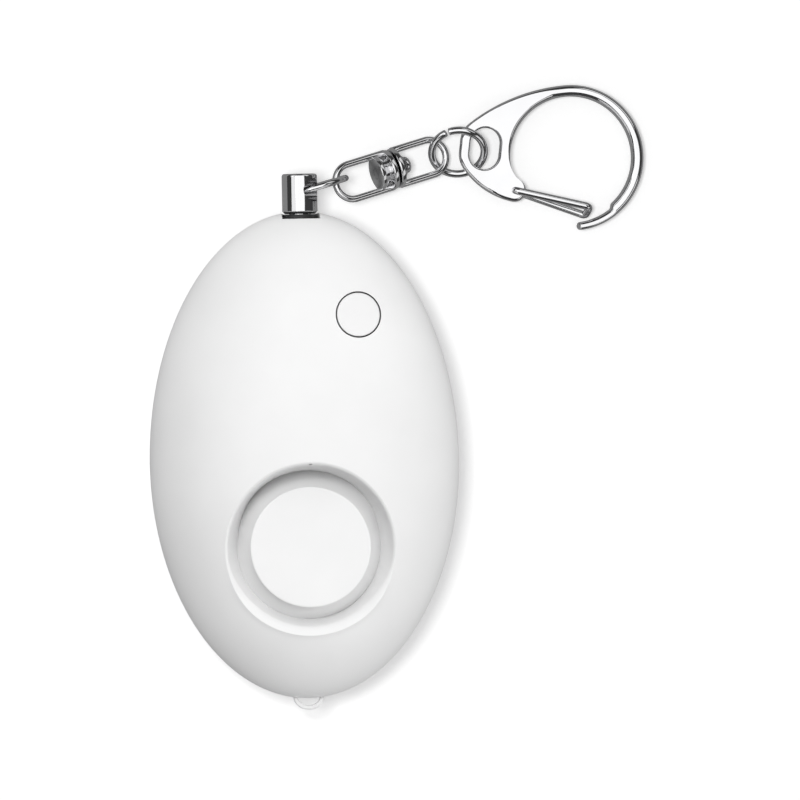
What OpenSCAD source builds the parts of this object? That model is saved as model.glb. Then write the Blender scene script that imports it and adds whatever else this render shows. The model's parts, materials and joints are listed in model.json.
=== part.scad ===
// Personal safety alarm: an egg-shaped siren case with a pull pin, a swivel chain and a snap hook.
// Millimetres. The case lies on its flat back at z = 0, +Y points to the pull pin, +Z out of the front.

/* [Case] */
// Width across the widest line
case_w = 35; // [33:0.5:39]
// Length from the widest line to the pin end
case_upper = 28.2; // [27.5:0.1:31]
// Length from the widest line to the strap end
case_lower = 26.8; // [26:0.1:30]
// Thickness from the flat back to the front
case_h = 20; // [19.5:0.5:22]
// Height of the parting plane and of the pin axis above the flat back
parting_z = 9; // [8.8:0.1:9.4]
// Wall thickness of both shells
wall = 1.6; // [1.3:0.1:1.8]
// Thickness of the parting lip inside the front shell
lip_t = 0.8; // [0.6:0.1:1]
// Depth of the parting lip below the parting plane
lip_h = 1; // [0.6:0.1:1.2]

/* [Siren] */
// Distance from the widest line down to the siren axis
siren_drop = 9.7; // [9:0.1:10.5]
// Outer radius of the sound groove
groove_r = 9.4; // [9:0.1:9.6]
// Radius of the bottom of the sound groove
valley_r = 8.1; // [7.8:0.1:8.4]
// Depth of the groove below its lowest rim
groove_depth = 1.1; // [0.8:0.1:1.3]
// Radius of the siren cap
cap_r = 6.78; // [6.3:0.02:7]
// Thickness of the siren cap
cap_t = 1.2; // [0.9:0.1:1.5]
// Height of the cap above the lowest rim of the groove
cap_rise = 0.65; // [0.4:0.05:0.9]
// Radius of the raised bead round the groove
bead_r = 0.65; // [0.4:0.05:0.8]
// Diameter of the brass piezo plate
piezo_d = 17; // [16:0.5:17.5]
// Thickness of the brass piezo plate
piezo_t = 0.25; // [0.15:0.05:0.4]
// Diameter of the ceramic on the piezo plate
ceramic_d = 11; // [9:0.5:12]
// Height of the ring that holds the piezo plate
retainer_h = 1.25; // [0.8:0.05:1.6]

/* [Button] */
// Distance of the button from the centre line
button_x = 5.9; // [5.6:0.1:6.4]
// Distance of the button from the widest line
button_y = 16.4; // [16.2:0.1:17]
// Diameter of the button
button_d = 4.92; // [4.2:0.02:5.4]
// Travel of the button
button_travel = 0.5; // [0.3:0.1:0.6]
// Gap round the button
button_gap = 0.16; // [0.12:0.02:0.25]
// Side of the square push switch
switch_side = 4; // [3.8:0.1:4.5]
// Height of the push switch body
switch_h = 3.2; // [2.8:0.1:3.6]

/* [Batteries] */
// Diameter of a button cell
cell_d = 11.6; // [10.5:0.1:11.8]
// Height of a button cell with its cap
cell_h = 5.4; // [4.8:0.1:5.5]
// Thickness of the contact plates
contact_t = 0.3; // [0.2:0.05:0.4]
// Reach of the sprung dish on the negative contact
spring_reach = 1.3; // [1:0.1:1.5]

/* [Board and screws] */
// Thickness of the circuit board
board_t = 1.2; // [0.8:0.1:1.6]
// Height of the board's underside above the flat back
board_z = 4.3; // [4.2:0.1:4.6]
// Radius of the case screw bosses
boss_r = 2; // [1.8:0.1:2.1]
// Radius of the case screw shank
screw_r = 0.9; // [0.7:0.05:1]
// Radius of the case screw head
screw_head_r = 1.6; // [1.4:0.1:1.7]
// Distance from the widest line down to the lower case screw
lower_screw_y = 21.9; // [21.5:0.1:22]

/* [Pull pin] */
// Diameter of the pin head
head_d = 4; // [3.6:0.1:4.4]
// Length of the pin head
head_l = 4.55; // [4.2:0.05:5]
// Diameter of the cross hole in the head
head_hole_d = 2.6; // [2.5:0.1:2.8]
// Distance of the cross hole from the outer end of the head
head_hole_back = 1.85; // [1.75:0.05:2.1]
// Turn of the cross hole about the pin, from straight up towards +X
head_hole_turn = 50; // [45:1:55]
// Diameter of the pin shaft
shaft_d = 2.5; // [2.2:0.1:2.6]
// Length of the pin shaft inside the case
shaft_l = 8.5; // [8:0.1:8.8]
// Depth of the head's seat in the case end
head_seat = 0.3; // [0.2:0.05:0.5]

/* [Strap loop] */
// Width of the strap loop
loop_w = 3.5; // [3.2:0.1:4]
// Thickness of the strap loop
loop_t = 0.6; // [0.5:0.05:0.8]
// Reach of the strap loop beyond the case
loop_reach = 1.3; // [1.2:0.05:1.6]
// Width of the rim round the strap hole
loop_rim = 0.6; // [0.5:0.05:0.7]
// Height of the strap hole
loop_hole = 1.1; // [0.9:0.05:1.3]

/* [Chain] */
// Turn of the swivel in plan, from +X towards +Y
chain_yaw = 16; // [13:1:19]
// Slope of the swivel down from the pin
chain_pitch = 17.3; // [15:0.1:18]
// Mean radius of the pin ring
pin_ring_r = 3.55; // [3.4:0.05:3.8]
// Wire diameter of the pin ring
pin_ring_wire = 0.76; // [0.6:0.02:0.8]
// Mean radius of the swivel bows
bow_r = 1.83; // [1.75:0.01:1.95]
// Wire diameter of the swivel bows
bow_wire = 0.76; // [0.6:0.02:0.8]
// Length of the swivel between the middles of its end bars
swivel_l = 13.8; // [13.6:0.1:14.6]
// Length of the first bow from its end bar to the gap between the drums
bow_a_l = 7.1; // [6.8:0.1:7.4]
// Length of the first drum
drum_a_l = 1.95; // [1.6:0.05:2.1]
// Length of the second drum
drum_b_l = 1.25; // [1:0.05:1.5]
// Diameter of the drums
drum_d = 4.4; // [4.2:0.1:4.8]
// Diameter of the rivet shank
rivet_d = 1.2; // [1:0.05:1.4]
// Diameter of the rivet head
rivet_head_d = 1.9; // [1.8:0.1:2.2]
// Mean radius of the clip ring
clip_ring_r = 2.98; // [2.9:0.02:3.2]
// Wire diameter of the clip ring
clip_ring_wire = 0.84; // [0.7:0.02:0.86]
// Tilt of the clip ring from lying flat
clip_ring_tilt = 34.5; // [34:0.5:36]

/* [Snap hook] */
// Inner radius of the hook
hook_inner_r = 6.95; // [6.8:0.05:7.4]
// Width of the hook's band
hook_band = 1.3; // [1.2:0.05:1.5]
// Thickness of the hook's band
hook_t = 2.2; // [2:0.1:2.4]
// Thickness of the hook at its eye and its gate pivot
eye_t = 1.1; // [1:0.05:1.2]
// Width of the eye along the hook
eye_w = 3.4; // [3.2:0.1:3.8]
// Height of the eye across the hook
eye_h = 4.7; // [4.5:0.1:5.2]
// Width of the rim round the eye
eye_rim = 1.15; // [1:0.05:1.3]
// Distance from the eye to the middle of the hook
eye_back = 9.88; // [9.6:0.02:10.4]
// Turn of the hook in plan
hook_yaw = -7.1; // [-12:0.1:0]
// Wire diameter of the gate
gate_wire = 0.85; // [0.7:0.05:0.9]

/* [Hidden] */
$fn = 96;

// Clearances
touch = 0.05;
fit = 0.1;
slide_fit = 0.15;
link_slack = 0.12;
// A length that reaches past anything in the case
far = 60;
// How deep an inner feature is rooted in the wall, and an overlap that joins two shapes
root = 0.4;
join = 0.01;

// Case
front_c = case_h - parting_z;
// The curve of the back, cut off flat, would end this far below it
back_cut = 2;
rear_c = parting_z + back_cut;
seam_turn = 70;
lip_gap = 0.25;
lip_rise = 1.2;
floor_z = wall;
// Share of the egg's full height above or below the parting plane that is left at a point
function egg_share(x, y, inset) =
    sqrt(1 - pow(x / (case_w / 2 - inset), 2) - pow(y / ((y > 0 ? case_upper : case_lower) - inset), 2));
function surface_z(x, y, inset = 0) = parting_z + (front_c - inset) * egg_share(x, y, inset);

// Siren, from the lowest point of the groove's rim
siren_y = -siren_drop;
rim_z = surface_z(0, siren_y - groove_r);
valley_z = rim_z - groove_depth;
dish_z = valley_z - 1.4;
dish_r = groove_r + 1.2;
cap_gap = 0.15;
cap_bore_r = cap_r + cap_gap;
cap_z = rim_z + cap_rise;
cap_under_z = cap_z - cap_t;
cap_chamfer = 0.15;
spoke_t = 1.3;
spoke_w = 1.6;
hub_r = 2.4;
stem_r = 1.2;
bead_ring_r = groove_r + 0.5;
vent_r = 0.17;
vent_back = 0.4;
tube_wall = 0.8;
piezo_bore_r = piezo_d / 2 + fit;
tube_r = piezo_bore_r + tube_wall;
ledge_r = piezo_d / 2 - 0.6;
piezo_z = dish_z - 1.8;
ceramic_t = 0.25;
ceramic_z = piezo_z - piezo_t - ceramic_t;
retainer_z = piezo_z - piezo_t - retainer_h;
retainer_w = 1.1;
tube_z = retainer_z - 0.5;
lead_r = 0.4;
lead_out = 2;
lead_start = 3;
lead_bend = 9;
lead_bow = 1.9;
lead_inset = 1.5;

// The upper half is laid out from the pin end: the case screw, the board's edge below it and below the switch, then the cells
boss_back = 12;
boss_y = case_upper - boss_back;
board_edge = 1.8;
board_y = min(boss_y - board_edge, button_y - switch_side / 2);
cell_gap = 0.8;

// Cells, lying across the case with their axis along X
cell_count = 3;
cell_r = cell_d / 2;
cell_y = board_y - cell_gap - cell_r;
cell_cap_r = cell_r - 1.4;
cell_cap_h = 0.4;
stack_l = cell_count * cell_h;
stack_x = 0.4 - stack_l / 2;
positive_x = stack_x + stack_l;
cell_lift = 0.3;
cell_z = cell_r + max(floor_z + cell_lift, parting_z - (rear_c - wall) * egg_share(positive_x, cell_y, wall) + fit);
cradle_z = floor_z + 2;
cradle_half_y = 4.5;
contact_half = 3.5;
negative_x = stack_x - spring_reach - contact_t;
arm_l = 4.5;
arm_h = 2;
contact_rib_t = 1.2;
contact_rib_half = 2.5;

// Board and what stands on it
board_top = board_z + board_t;
board_gap = 0.35;
screw_hole_r = screw_r + fit;
pilot_r = screw_r + touch;
screw_head_h = 1.2;
head_well_r = screw_head_r + 0.2;
upper_head_z = 2.3;
lower_head_z = 5.2;
upper_screw_l = 8.5;
lower_screw_l = 6.8;
board_screw_r = 0.55;
board_screw_head_r = 1.1;
board_screw_head_h = 0.8;
board_post_r = 1.4;
board_screw_l = board_t + 1.1;
board_post_gap = 0.5;
board_post_y = 2.7;
socket_w = 5.4;
socket_l = 5;
socket_gap = 0.4;
socket_y = boss_y + boss_r + socket_gap;
socket_roof = 0.9;
socket_top = parting_z + shaft_d / 2 + slide_fit + socket_roof;
leaf_t = 0.3;
leaf_w = 2;
leaf_in = 1.4;
leaf_y = socket_y + leaf_in;
finger_half = 0.4;
finger_rise = 1;
post_at = [socket_w / 2 + leaf_t + board_post_gap + board_screw_head_r, boss_y + board_post_y];
board_screw_at = [-post_at.x, post_at.y];
chip_side = 2.2;
chip_h = 1;
chip_lead_l = 0.35;
chip_at = [boss_r + board_post_gap + chip_lead_l + chip_side / 2 + 0.25, boss_y];
transistor_w = 2.8;
transistor_d = 1.3;
transistor_h = 1.1;
transistor_leg = 0.4;
transistor_leg_t = 0.2;
transistor_leg_in = 0.3;
transistor_at = [-4, board_y + 1];
coil_r = 1.7;
coil_h = 3.2;
coil_at = [-7.2, boss_y - 0.1];

// Button above its switch
button_r = button_d / 2;
guide_r = button_r + 1.4;
guide_hole_r = button_r + button_gap;
flange_r = guide_hole_r + 0.5;
flange_t = 1.2;
guide_z = surface_z(button_x + button_r * 0.9, button_y + button_r * 1.05, wall) - fit * 2;
flange_z = guide_z - touch - flange_t;
plunger_r = 1.2;
switch_top = board_top + switch_h;
plunger_z = switch_top - 0.5;
switch_well_z = plunger_z - button_travel - 0.3;

// Pin and its seat in the end of the case
head_y = case_upper - head_seat;
head_end = head_y + head_l;
head_round = 0.35;
head_chamfer = 0.3;
seat_floor = head_y - 0.35;
seat_r = head_d / 2 + slide_fit;
shaft_bore_r = shaft_d / 2 + slide_fit;
waist_in = 0.2;
waist_r = shaft_d / 2 - waist_in;
waist_l = 0.8;
waist_from_tip = 2;
hole_y = head_end - head_hole_back;
hole_c = [0, hole_y, parting_z];

// Strap loop, trapped between the shells
loop_end = -case_lower - loop_reach;
loop_round = loop_rim + loop_hole / 2;
loop_bar_w = loop_w + 1.9;
loop_bar_y = -case_lower + wall + fit;
loop_bar_t = 0.7;

// Chain frame: along, across and above the swivel
chain_along = [cos(chain_pitch) * cos(chain_yaw), cos(chain_pitch) * sin(chain_yaw), -sin(chain_pitch)];
chain_across = [-sin(chain_yaw), cos(chain_yaw), 0];
chain_above = cross(chain_along, chain_across);

// Pin ring: the wire stands off the middle of the cross hole, because it bends through it
pin_ring_angle = 145;
pin_ring_off = pin_ring_r - 0.3;
pin_ring_side = -0.25;
pin_ring_gap = 11;
pin_ring_gap_at = 24;
pin_ring_c = hole_c + pin_ring_side * chain_across
    - pin_ring_off * (cos(pin_ring_angle) * chain_along + sin(pin_ring_angle) * chain_above);

// Swivel: the pin ring crosses the first bow beside its middle
swivel_side = -0.6;
bow_seat_r = bow_r - pin_ring_wire / 2 - bow_wire / 2 - link_slack;
bar_in_ring = pin_ring_r - bow_r + sqrt(pow(bow_seat_r, 2) - pow(swivel_side, 2));
swivel_start = pin_ring_c + bar_in_ring * chain_along + swivel_side * chain_across;
swivel_end = swivel_start + swivel_l * chain_along;
drum_gap = 0.25;
drum_a_x = bow_a_l - drum_gap / 2 - drum_a_l;
drum_b_x = bow_a_l + drum_gap / 2;
rivet_fit = 0.15;
rivet_head_h = 0.7;
drum_round = 0.3;

// Clip ring: it leans over the swivel's end bar, with its lower side on the surface
rest_gap = 0.05;
clip_ring_slack = 0.75;
clip_ring_side = 0.03;
clip_ring_gap = 10;
clip_ring_gap_at = 115;
clip_ring_c = [
    swivel_end.x + clip_ring_r - clip_ring_wire / 2 - bow_wire / 2 - clip_ring_slack,
    swivel_end.y + clip_ring_side,
    clip_ring_r * sin(clip_ring_tilt) + clip_ring_wire / 2 + rest_gap
];

// Snap hook: its eye lies on the clip ring and its far side on the surface
hook_outer_r = hook_inner_r + hook_band;
hook_slack = 1.22;
hook_side = 0.55;
eye_edge = [
    clip_ring_c.x + clip_ring_r - clip_ring_wire / 2 - hook_slack,
    clip_ring_c.y + hook_side,
    clip_ring_c.z
];
hook_reach = eye_w / 2 + eye_back;
hook_tilt = asin((eye_edge.z - hook_t / 2 - rest_gap) / (hook_reach + hook_outer_r));
hook_along = [cos(hook_tilt) * cos(hook_yaw), cos(hook_tilt) * sin(hook_yaw), -sin(hook_tilt)];
hook_c = eye_edge + hook_reach * hook_along;
hook_round = 0.45;
pivot_at = 216;
pivot_r = (hook_inner_r + hook_outer_r) / 2 - 0.2;
pivot_c = pivot_r * [cos(pivot_at), sin(pivot_at)];
pivot_corner_r = 1.3;
nose_at = 281.4;
relief_at = 313.5;
relief_r = hook_inner_r + 0.4;
eye_slope_x = -hook_inner_r + 1.5;
leg_z = eye_t / 2 + link_slack + gate_wire / 2;
gate_end_z = hook_t / 2 - gate_wire / 2;
gate_top_at = 297;
gate_top_r = hook_inner_r - 1.01;
gate_low_at = 291;
gate_low_r = hook_inner_r - 0.18;

// Points on the hook's outline, in its own plane
function polar(r, a) = r * [cos(a), sin(a)];
// Angle of the outward normal of the tangent line that touches two circles on one side of their centres
function tangent_at(c1, r1, c2, r2, side) =
    atan2(c2.y - c1.y, c2.x - c1.x) + side * acos((r1 - r2) / norm(c2 - c1));

// Half of the egg on one side of the parting plane, inset from the outer surface
module egg_half(inset, front) {
    half_w = case_w / 2 - inset;
    half_c = (front ? front_c : rear_c) - inset;
    translate([0, 0, parting_z])
        mirror([0, 0, front ? 0 : 1])
            for (way = [1, -1])
                scale([half_w, (way > 0 ? case_upper : case_lower) - inset, half_c])
                    intersection() {
                        rotate([90, 0, 0]) rotate([0, 0, seam_turn]) sphere(r = 1);
                        translate([-2, way > 0 ? 0 : -2, 0]) cube([4, 2, 2]);
                    }
}

// The rear half of the egg above a flat floor
module rear_egg(inset, floor_at) {
    difference() {
        egg_half(inset, false);
        translate([-far, -far, floor_at - far]) cube([2 * far, 2 * far, far]);
    }
}

// Outline of the egg's rear half at one height, inset from the outer surface and drawn in by a gap
module egg_outline(inset, z, gap) {
    share = sqrt(1 - pow((z - parting_z) / (rear_c - inset), 2));
    for (way = [1, -1])
        scale([
            (case_w / 2 - inset) * share - gap,
            ((way > 0 ? case_upper : case_lower) - inset) * share - gap
        ])
            intersection() {
                circle(r = 1);
                translate([-2, way > 0 ? 0 : -2]) square([4, 2]);
            }
}

module tube(r, hole_r, h) {
    difference() {
        cylinder(r = r, h = h);
        translate([0, 0, -1]) cylinder(r = hole_r, h = h + 2);
    }
}

// A bar of round wire between two points, with a rounded first end
module wire(from, to, r) {
    along = to - from;
    translate(from) {
        rotate([0, acos(along.z / norm(along)), atan2(along.y, along.x)]) cylinder(r = r, h = norm(along));
        sphere(r = r + join);
    }
}

// Wire through a list of points, rounded at each
module wire_path(points, r) {
    for (i = [0 : len(points) - 2]) wire(points[i], points[i + 1], r);
    translate(points[len(points) - 1]) sphere(r = r + join);
}

// An open round ring of wire in its own plane, with its gap centred at an angle
module wire_ring(r, wire_d, gap, gap_at) {
    rotate([0, 0, gap_at + gap / 2])
        rotate_extrude(angle = 360 - gap) translate([r, 0]) circle(d = wire_d, $fn = 48);
}

// Places a shape made along +Z on the pin axis, pointing out of the case
module on_pin_axis(y) {
    translate([0, y, parting_z]) rotate([-90, 0, 0]) children();
}

module in_chain_frame(at) {
    translate(at) rotate([0, chain_pitch, chain_yaw]) children();
}

module in_hook_frame() {
    translate(hook_c) rotate([0, hook_tilt, hook_yaw]) children();
}

// The strap loop's plate, grown by a gap where the shells make room for it
module loop_room(gap) {
    translate([-loop_w / 2 - gap, -far, parting_z - loop_t / 2 - gap])
        cube([loop_w + 2 * gap, far + loop_bar_y, loop_t + 2 * gap]);
    translate([-loop_bar_w / 2 - gap, loop_bar_y - gap, parting_z - loop_t / 2 - gap])
        cube([loop_bar_w + 2 * gap, loop_bar_t + 2 * gap, loop_t + 2 * gap]);
    notch_w = loop_w - 2 * loop_rim;
    translate([-notch_w / 2, loop_end + loop_rim, parting_z - 1]) cube([notch_w, loop_hole, 2]);
}

// Bores along the pin axis that both shells share
module pin_bores() {
    on_pin_axis(seat_floor) cylinder(r = seat_r, h = far);
    on_pin_axis(0) cylinder(r = shaft_bore_r, h = far);
}

// The groove, everything above it and the bore of the siren cap
module siren_cut() {
    translate([0, siren_y, 0])
        rotate_extrude()
            polygon([
                [0, dish_z - join], [cap_bore_r, dish_z - join], [cap_bore_r, cap_z - 0.1],
                [valley_r, valley_z], [groove_r, rim_z], [groove_r, far], [0, far]
            ]);
}

// Hub and spokes that carry the siren cap in its bore
module cap_spider() {
    translate([0, siren_y, cap_under_z - spoke_t])
        difference() {
            union() {
                cylinder(r = hub_r, h = spoke_t);
                for (turn = [90, 210, 330])
                    rotate([0, 0, turn]) translate([0, -spoke_w / 2, 0]) cube([cap_bore_r + root, spoke_w, spoke_t]);
            }
            translate([0, 0, -1]) cylinder(r = stem_r + touch, h = spoke_t + 2);
        }
}

// The band inside the front shell whose lower edge is the parting lip
module parting_lip() {
    lip_inset = wall + lip_gap;
    translate([0, 0, parting_z])
        linear_extrude(lip_rise)
            difference() {
                egg_outline(root * 2, parting_z, 0);
                egg_outline(lip_inset + lip_t, parting_z, 0);
            }
    translate([0, 0, parting_z - lip_h])
        linear_extrude(lip_h + join)
            difference() {
                egg_outline(lip_inset, parting_z, 0);
                egg_outline(lip_inset + lip_t, parting_z, 0);
            }
}

module front_shell() {
    color("whitesmoke") {
        difference() {
            union() {
                difference() {
                    egg_half(0, true);
                    egg_half(wall, true);
                }
                intersection() {
                    union() {
                        egg_half(root, true);
                        egg_half(root, false);
                    }
                    union() {
                        parting_lip();
                        translate([0, siren_y, dish_z]) cylinder(r = dish_r, h = front_c);
                        translate([0, siren_y, tube_z]) cylinder(r = tube_r, h = dish_z - tube_z + join);
                        translate([button_x, button_y, guide_z]) cylinder(r = guide_r, h = front_c);
                        translate([0, boss_y, board_top]) cylinder(r = boss_r, h = far);
                        translate([0, -lower_screw_y, parting_z]) cylinder(r = boss_r, h = far);
                    }
                }
                translate([0, siren_y, rim_z])
                    rotate_extrude() translate([bead_ring_r, 0]) circle(r = bead_r, $fn = 48);
            }
            siren_cut();
            translate([0, siren_y, 0]) cylinder(r = piezo_bore_r, h = piezo_z);
            translate([0, siren_y, 0]) cylinder(r = ledge_r, h = dish_z);
            translate([0, siren_y + groove_r - vent_back, dish_z]) cylinder(r = vent_r, h = front_c, $fn = 24);
            translate([button_x, button_y, 0]) cylinder(r = guide_hole_r, h = far);
            translate([0, boss_y, 0]) cylinder(r = pilot_r, h = upper_head_z + upper_screw_l + 1);
            translate([0, -lower_screw_y, 0]) cylinder(r = pilot_r, h = lower_head_z + lower_screw_l + 0.5);
            pin_bores();
            loop_room(touch);
        }
        cap_spider();
    }
}

// Saddle under the cells and the ribs that stand behind their contacts
module cell_cradle() {
    difference() {
        translate([stack_x, cell_y - cradle_half_y, 0])
            cube([stack_l, 2 * cradle_half_y, cradle_z]);
        translate([stack_x - 1, cell_y, cell_z]) rotate([0, 90, 0]) cylinder(r = cell_r + fit, h = stack_l + 2);
    }
    for (x = [positive_x + contact_t + touch, negative_x - contact_rib_t - touch])
        translate([x, cell_y - contact_rib_half, 0])
            cube([contact_rib_t, 2 * contact_rib_half, parting_z - lip_h - touch]);
}

module rear_shell() {
    color("whitesmoke")
        difference() {
            union() {
                difference() {
                    rear_egg(0, 0);
                    rear_egg(wall, floor_z);
                }
                intersection() {
                    rear_egg(root, root);
                    union() {
                        cell_cradle();
                        translate([0, boss_y, 0]) cylinder(r = boss_r + 0.4, h = board_z);
                        translate([0, -lower_screw_y, 0]) cylinder(r = boss_r, h = parting_z);
                        for (at = [board_screw_at, post_at])
                            translate(at) cylinder(r = board_post_r, h = board_z);
                    }
                }
            }
            translate([0, boss_y, -1]) cylinder(r = head_well_r, h = upper_head_z + 1);
            translate([0, boss_y, -1]) cylinder(r = screw_hole_r, h = far);
            translate([0, -lower_screw_y, -1]) cylinder(r = head_well_r, h = lower_head_z + 1);
            translate([0, -lower_screw_y, -1]) cylinder(r = screw_hole_r, h = far);
            translate([board_screw_at.x, board_screw_at.y, board_top - board_screw_l - 0.1])
                cylinder(r = board_screw_r + touch, h = far);
            pin_bores();
            loop_room(touch);
        }
}

module siren_cap() {
    color("whitesmoke")
        translate([0, siren_y, 0])
            rotate_extrude()
                polygon([
                    [0, cap_under_z - spoke_t], [stem_r, cap_under_z - spoke_t], [stem_r, cap_under_z],
                    [cap_r, cap_under_z], [cap_r, cap_z - cap_chamfer], [cap_r - cap_chamfer, cap_z], [0, cap_z]
                ]);
}

module piezo_plate() {
    color("goldenrod") translate([0, siren_y, piezo_z - piezo_t]) cylinder(d = piezo_d, h = piezo_t);
}

module piezo_ceramic() {
    color("ivory") translate([0, siren_y, ceramic_z]) cylinder(d = ceramic_d, h = ceramic_t);
}

module piezo_retainer() {
    color("dimgray")
        translate([0, siren_y, retainer_z]) tube(piezo_d / 2, piezo_d / 2 - retainer_w, retainer_h);
}

// One lead from the piezo, round the cells and down to the board
module piezo_lead(side, from_r) {
    rise = ceramic_z - lead_r - touch;
    end_x = -negative_x + lead_r + fit;
    bend_x = end_x + lead_bow;
    wire_path([
        [side * from_r, siren_y, rise],
        [side * (from_r + lead_out), siren_y + lead_start, tube_z - 3 * lead_r],
        [side * bend_x, siren_y + lead_bend, cell_z],
        [side * bend_x, cell_y, cell_z],
        [side * end_x, board_y + lead_r * 1.5, board_top + lead_r + touch]
    ], lead_r);
}

module piezo_leads() {
    color("firebrick") piezo_lead(1, ceramic_d / 2 - lead_inset);
    color("black") piezo_lead(-1, ceramic_d / 2 - lead_inset);
}

module button() {
    color("white")
        translate([button_x, button_y, flange_z]) {
            intersection() {
                cylinder(r = button_r, h = front_c);
                translate([-button_x, -button_y, -flange_z]) egg_half(0, true);
            }
            cylinder(r = flange_r, h = flange_t);
        }
}

module switch_plunger() {
    color("black")
        translate([button_x, button_y, plunger_z]) cylinder(r = plunger_r, h = flange_z - plunger_z);
}

module tact_switch() {
    foot_w = 0.8;
    color("silver")
        translate([button_x, button_y, board_top]) {
            difference() {
                translate([-switch_side / 2, -switch_side / 2, 0]) cube([switch_side, switch_side, switch_h]);
                translate([0, 0, switch_well_z - board_top]) cylinder(r = plunger_r + slide_fit, h = switch_h);
            }
            for (x = [-1, 1])
                translate([x * switch_side / 2 - foot_w / 2, -foot_w / 2, 0]) cube([foot_w, foot_w, 0.4]);
        }
}

module circuit_board() {
    color("darkgreen")
        translate([0, 0, board_z])
            linear_extrude(board_t)
                difference() {
                    intersection() {
                        egg_outline(wall, board_z, board_gap);
                        translate([-far / 2, board_y]) square([far, far]);
                    }
                    translate([0, boss_y]) circle(r = screw_hole_r);
                    translate(board_screw_at) circle(r = board_screw_r + touch);
                }
}

// The chip hangs under the board
module driver_chip() {
    color("black")
        translate([chip_at.x, chip_at.y, board_z]) mirror([0, 0, 1]) {
            translate([-chip_side / 2, -chip_side / 2, 0]) cube([chip_side, chip_side, chip_h]);
            for (side = [-1, 1], row = [-1.5 : 1 : 1.5])
                translate([side * (chip_side + chip_lead_l) / 2 - chip_lead_l / 2, row * 0.55 - 0.15, 0])
                    cube([chip_lead_l, 0.3, 0.2]);
        }
}

module transistor() {
    color("black")
        translate([transistor_at.x - transistor_w / 2, transistor_at.y - transistor_d / 2, board_top]) {
            cube([transistor_w, transistor_d, transistor_h]);
            for (at = [
                [transistor_leg_in, -transistor_leg],
                [transistor_w - transistor_leg_in - transistor_leg, -transistor_leg],
                [(transistor_w - transistor_leg) / 2, transistor_d]
            ])
                translate(at) cube([transistor_leg, transistor_leg, transistor_leg_t]);
        }
}

// Drum core with its winding between two flanges
module boost_coil() {
    color("dimgray")
        translate([coil_at.x, coil_at.y, board_top])
            rotate_extrude()
                polygon([
                    [0, 0], [coil_r, 0], [coil_r, 0.5], [coil_r - 0.3, 0.5],
                    [coil_r - 0.3, coil_h - 0.5], [coil_r, coil_h - 0.5], [coil_r, coil_h], [0, coil_h]
                ]);
}

// A pan-head screw pointing up, with its head below z = 0 and a crossed recess
module screw(shank_r, shank_l, head_r, head_h) {
    slot = head_r / 3;
    difference() {
        rotate_extrude()
            polygon([
                [0, -head_h], [head_r * 0.85, -head_h], [head_r, -head_h * 2 / 3], [head_r, 0],
                [shank_r, 0], [shank_r, shank_l], [0, shank_l]
            ]);
        for (turn = [0, 90])
            rotate([0, 0, turn])
                translate([-head_r * 0.6, -slot / 2, -head_h - 1]) cube([head_r * 1.2, slot, 1 + head_h / 2]);
    }
}

module board_screw() {
    color("silver")
        translate([board_screw_at.x, board_screw_at.y, board_top])
            rotate([180, 0, 0]) screw(board_screw_r, board_screw_l, board_screw_head_r, board_screw_head_h);
}

module case_screws() {
    color("silver") {
        translate([0, boss_y, upper_head_z]) screw(screw_r, upper_screw_l, screw_head_r, screw_head_h);
        translate([0, -lower_screw_y, lower_head_z]) screw(screw_r, lower_screw_l, screw_head_r, screw_head_h);
    }
}

// Room for the contact fingers on both sides of the pin
module finger_slots(gap) {
    for (side = [-1, 1])
        translate([side > 0 ? shaft_d / 2 + touch - gap : -far, leaf_y + leaf_w / 2 - finger_half - gap,
            parting_z - finger_half - gap])
            cube([far - shaft_d / 2 - touch + gap, 2 * (finger_half + gap), 2 * (finger_half + gap)]);
}

module pin_socket() {
    color("black")
        difference() {
            translate([-socket_w / 2, socket_y, board_top]) cube([socket_w, socket_l, socket_top - board_top]);
            on_pin_axis(0) cylinder(r = shaft_bore_r, h = far);
            finger_slots(fit);
        }
}

// Two bronze leaves beside the socket, each with a finger on the pin
module pin_contacts() {
    color("peru")
        for (side = [0, 1])
            mirror([side, 0, 0]) {
                translate([socket_w / 2, leaf_y, board_top])
                    cube([leaf_t, leaf_w, parting_z + finger_rise - board_top]);
                translate([shaft_d / 2 + touch, leaf_y + leaf_w / 2 - finger_half, parting_z - finger_half])
                    cube([socket_w / 2 - shaft_d / 2 - touch + leaf_t / 2, 2 * finger_half, 2 * finger_half]);
            }
}

// A button cell in the stack: its can, with the smaller cap towards -X
module button_cell(place) {
    color("lightgray")
        translate([stack_x + place * cell_h, cell_y, cell_z])
            rotate([0, 90, 0]) {
                cylinder(r = cell_cap_r, h = cell_cap_h + join);
                translate([0, 0, cell_cap_h]) cylinder(r = cell_r, h = cell_h - cell_cap_h);
            }
}

module button_cell_1() {
    button_cell(0);
}

module button_cell_2() {
    button_cell(1);
}

module button_cell_3() {
    button_cell(2);
}

// A contact plate against the stack with an arm that stands on the board
module contact_plate(x) {
    translate([x, cell_y - contact_half, cell_z - contact_half])
        cube([contact_t, 2 * contact_half, 2 * contact_half]);
    translate([x, cell_y + contact_half - join, board_top]) cube([contact_t, arm_l, arm_h]);
}

module positive_contact() {
    color("silver") contact_plate(positive_x);
}

module negative_contact() {
    foot_r = contact_half - 0.5;
    tip_r = 1.2;
    color("silver") {
        contact_plate(negative_x);
        translate([negative_x + contact_t, cell_y, cell_z])
            rotate([0, 90, 0])
                difference() {
                    cylinder(r1 = foot_r, r2 = tip_r, h = spring_reach);
                    translate([0, 0, -contact_t])
                        cylinder(r1 = foot_r, r2 = tip_r, h = spring_reach);
                }
    }
}

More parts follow.
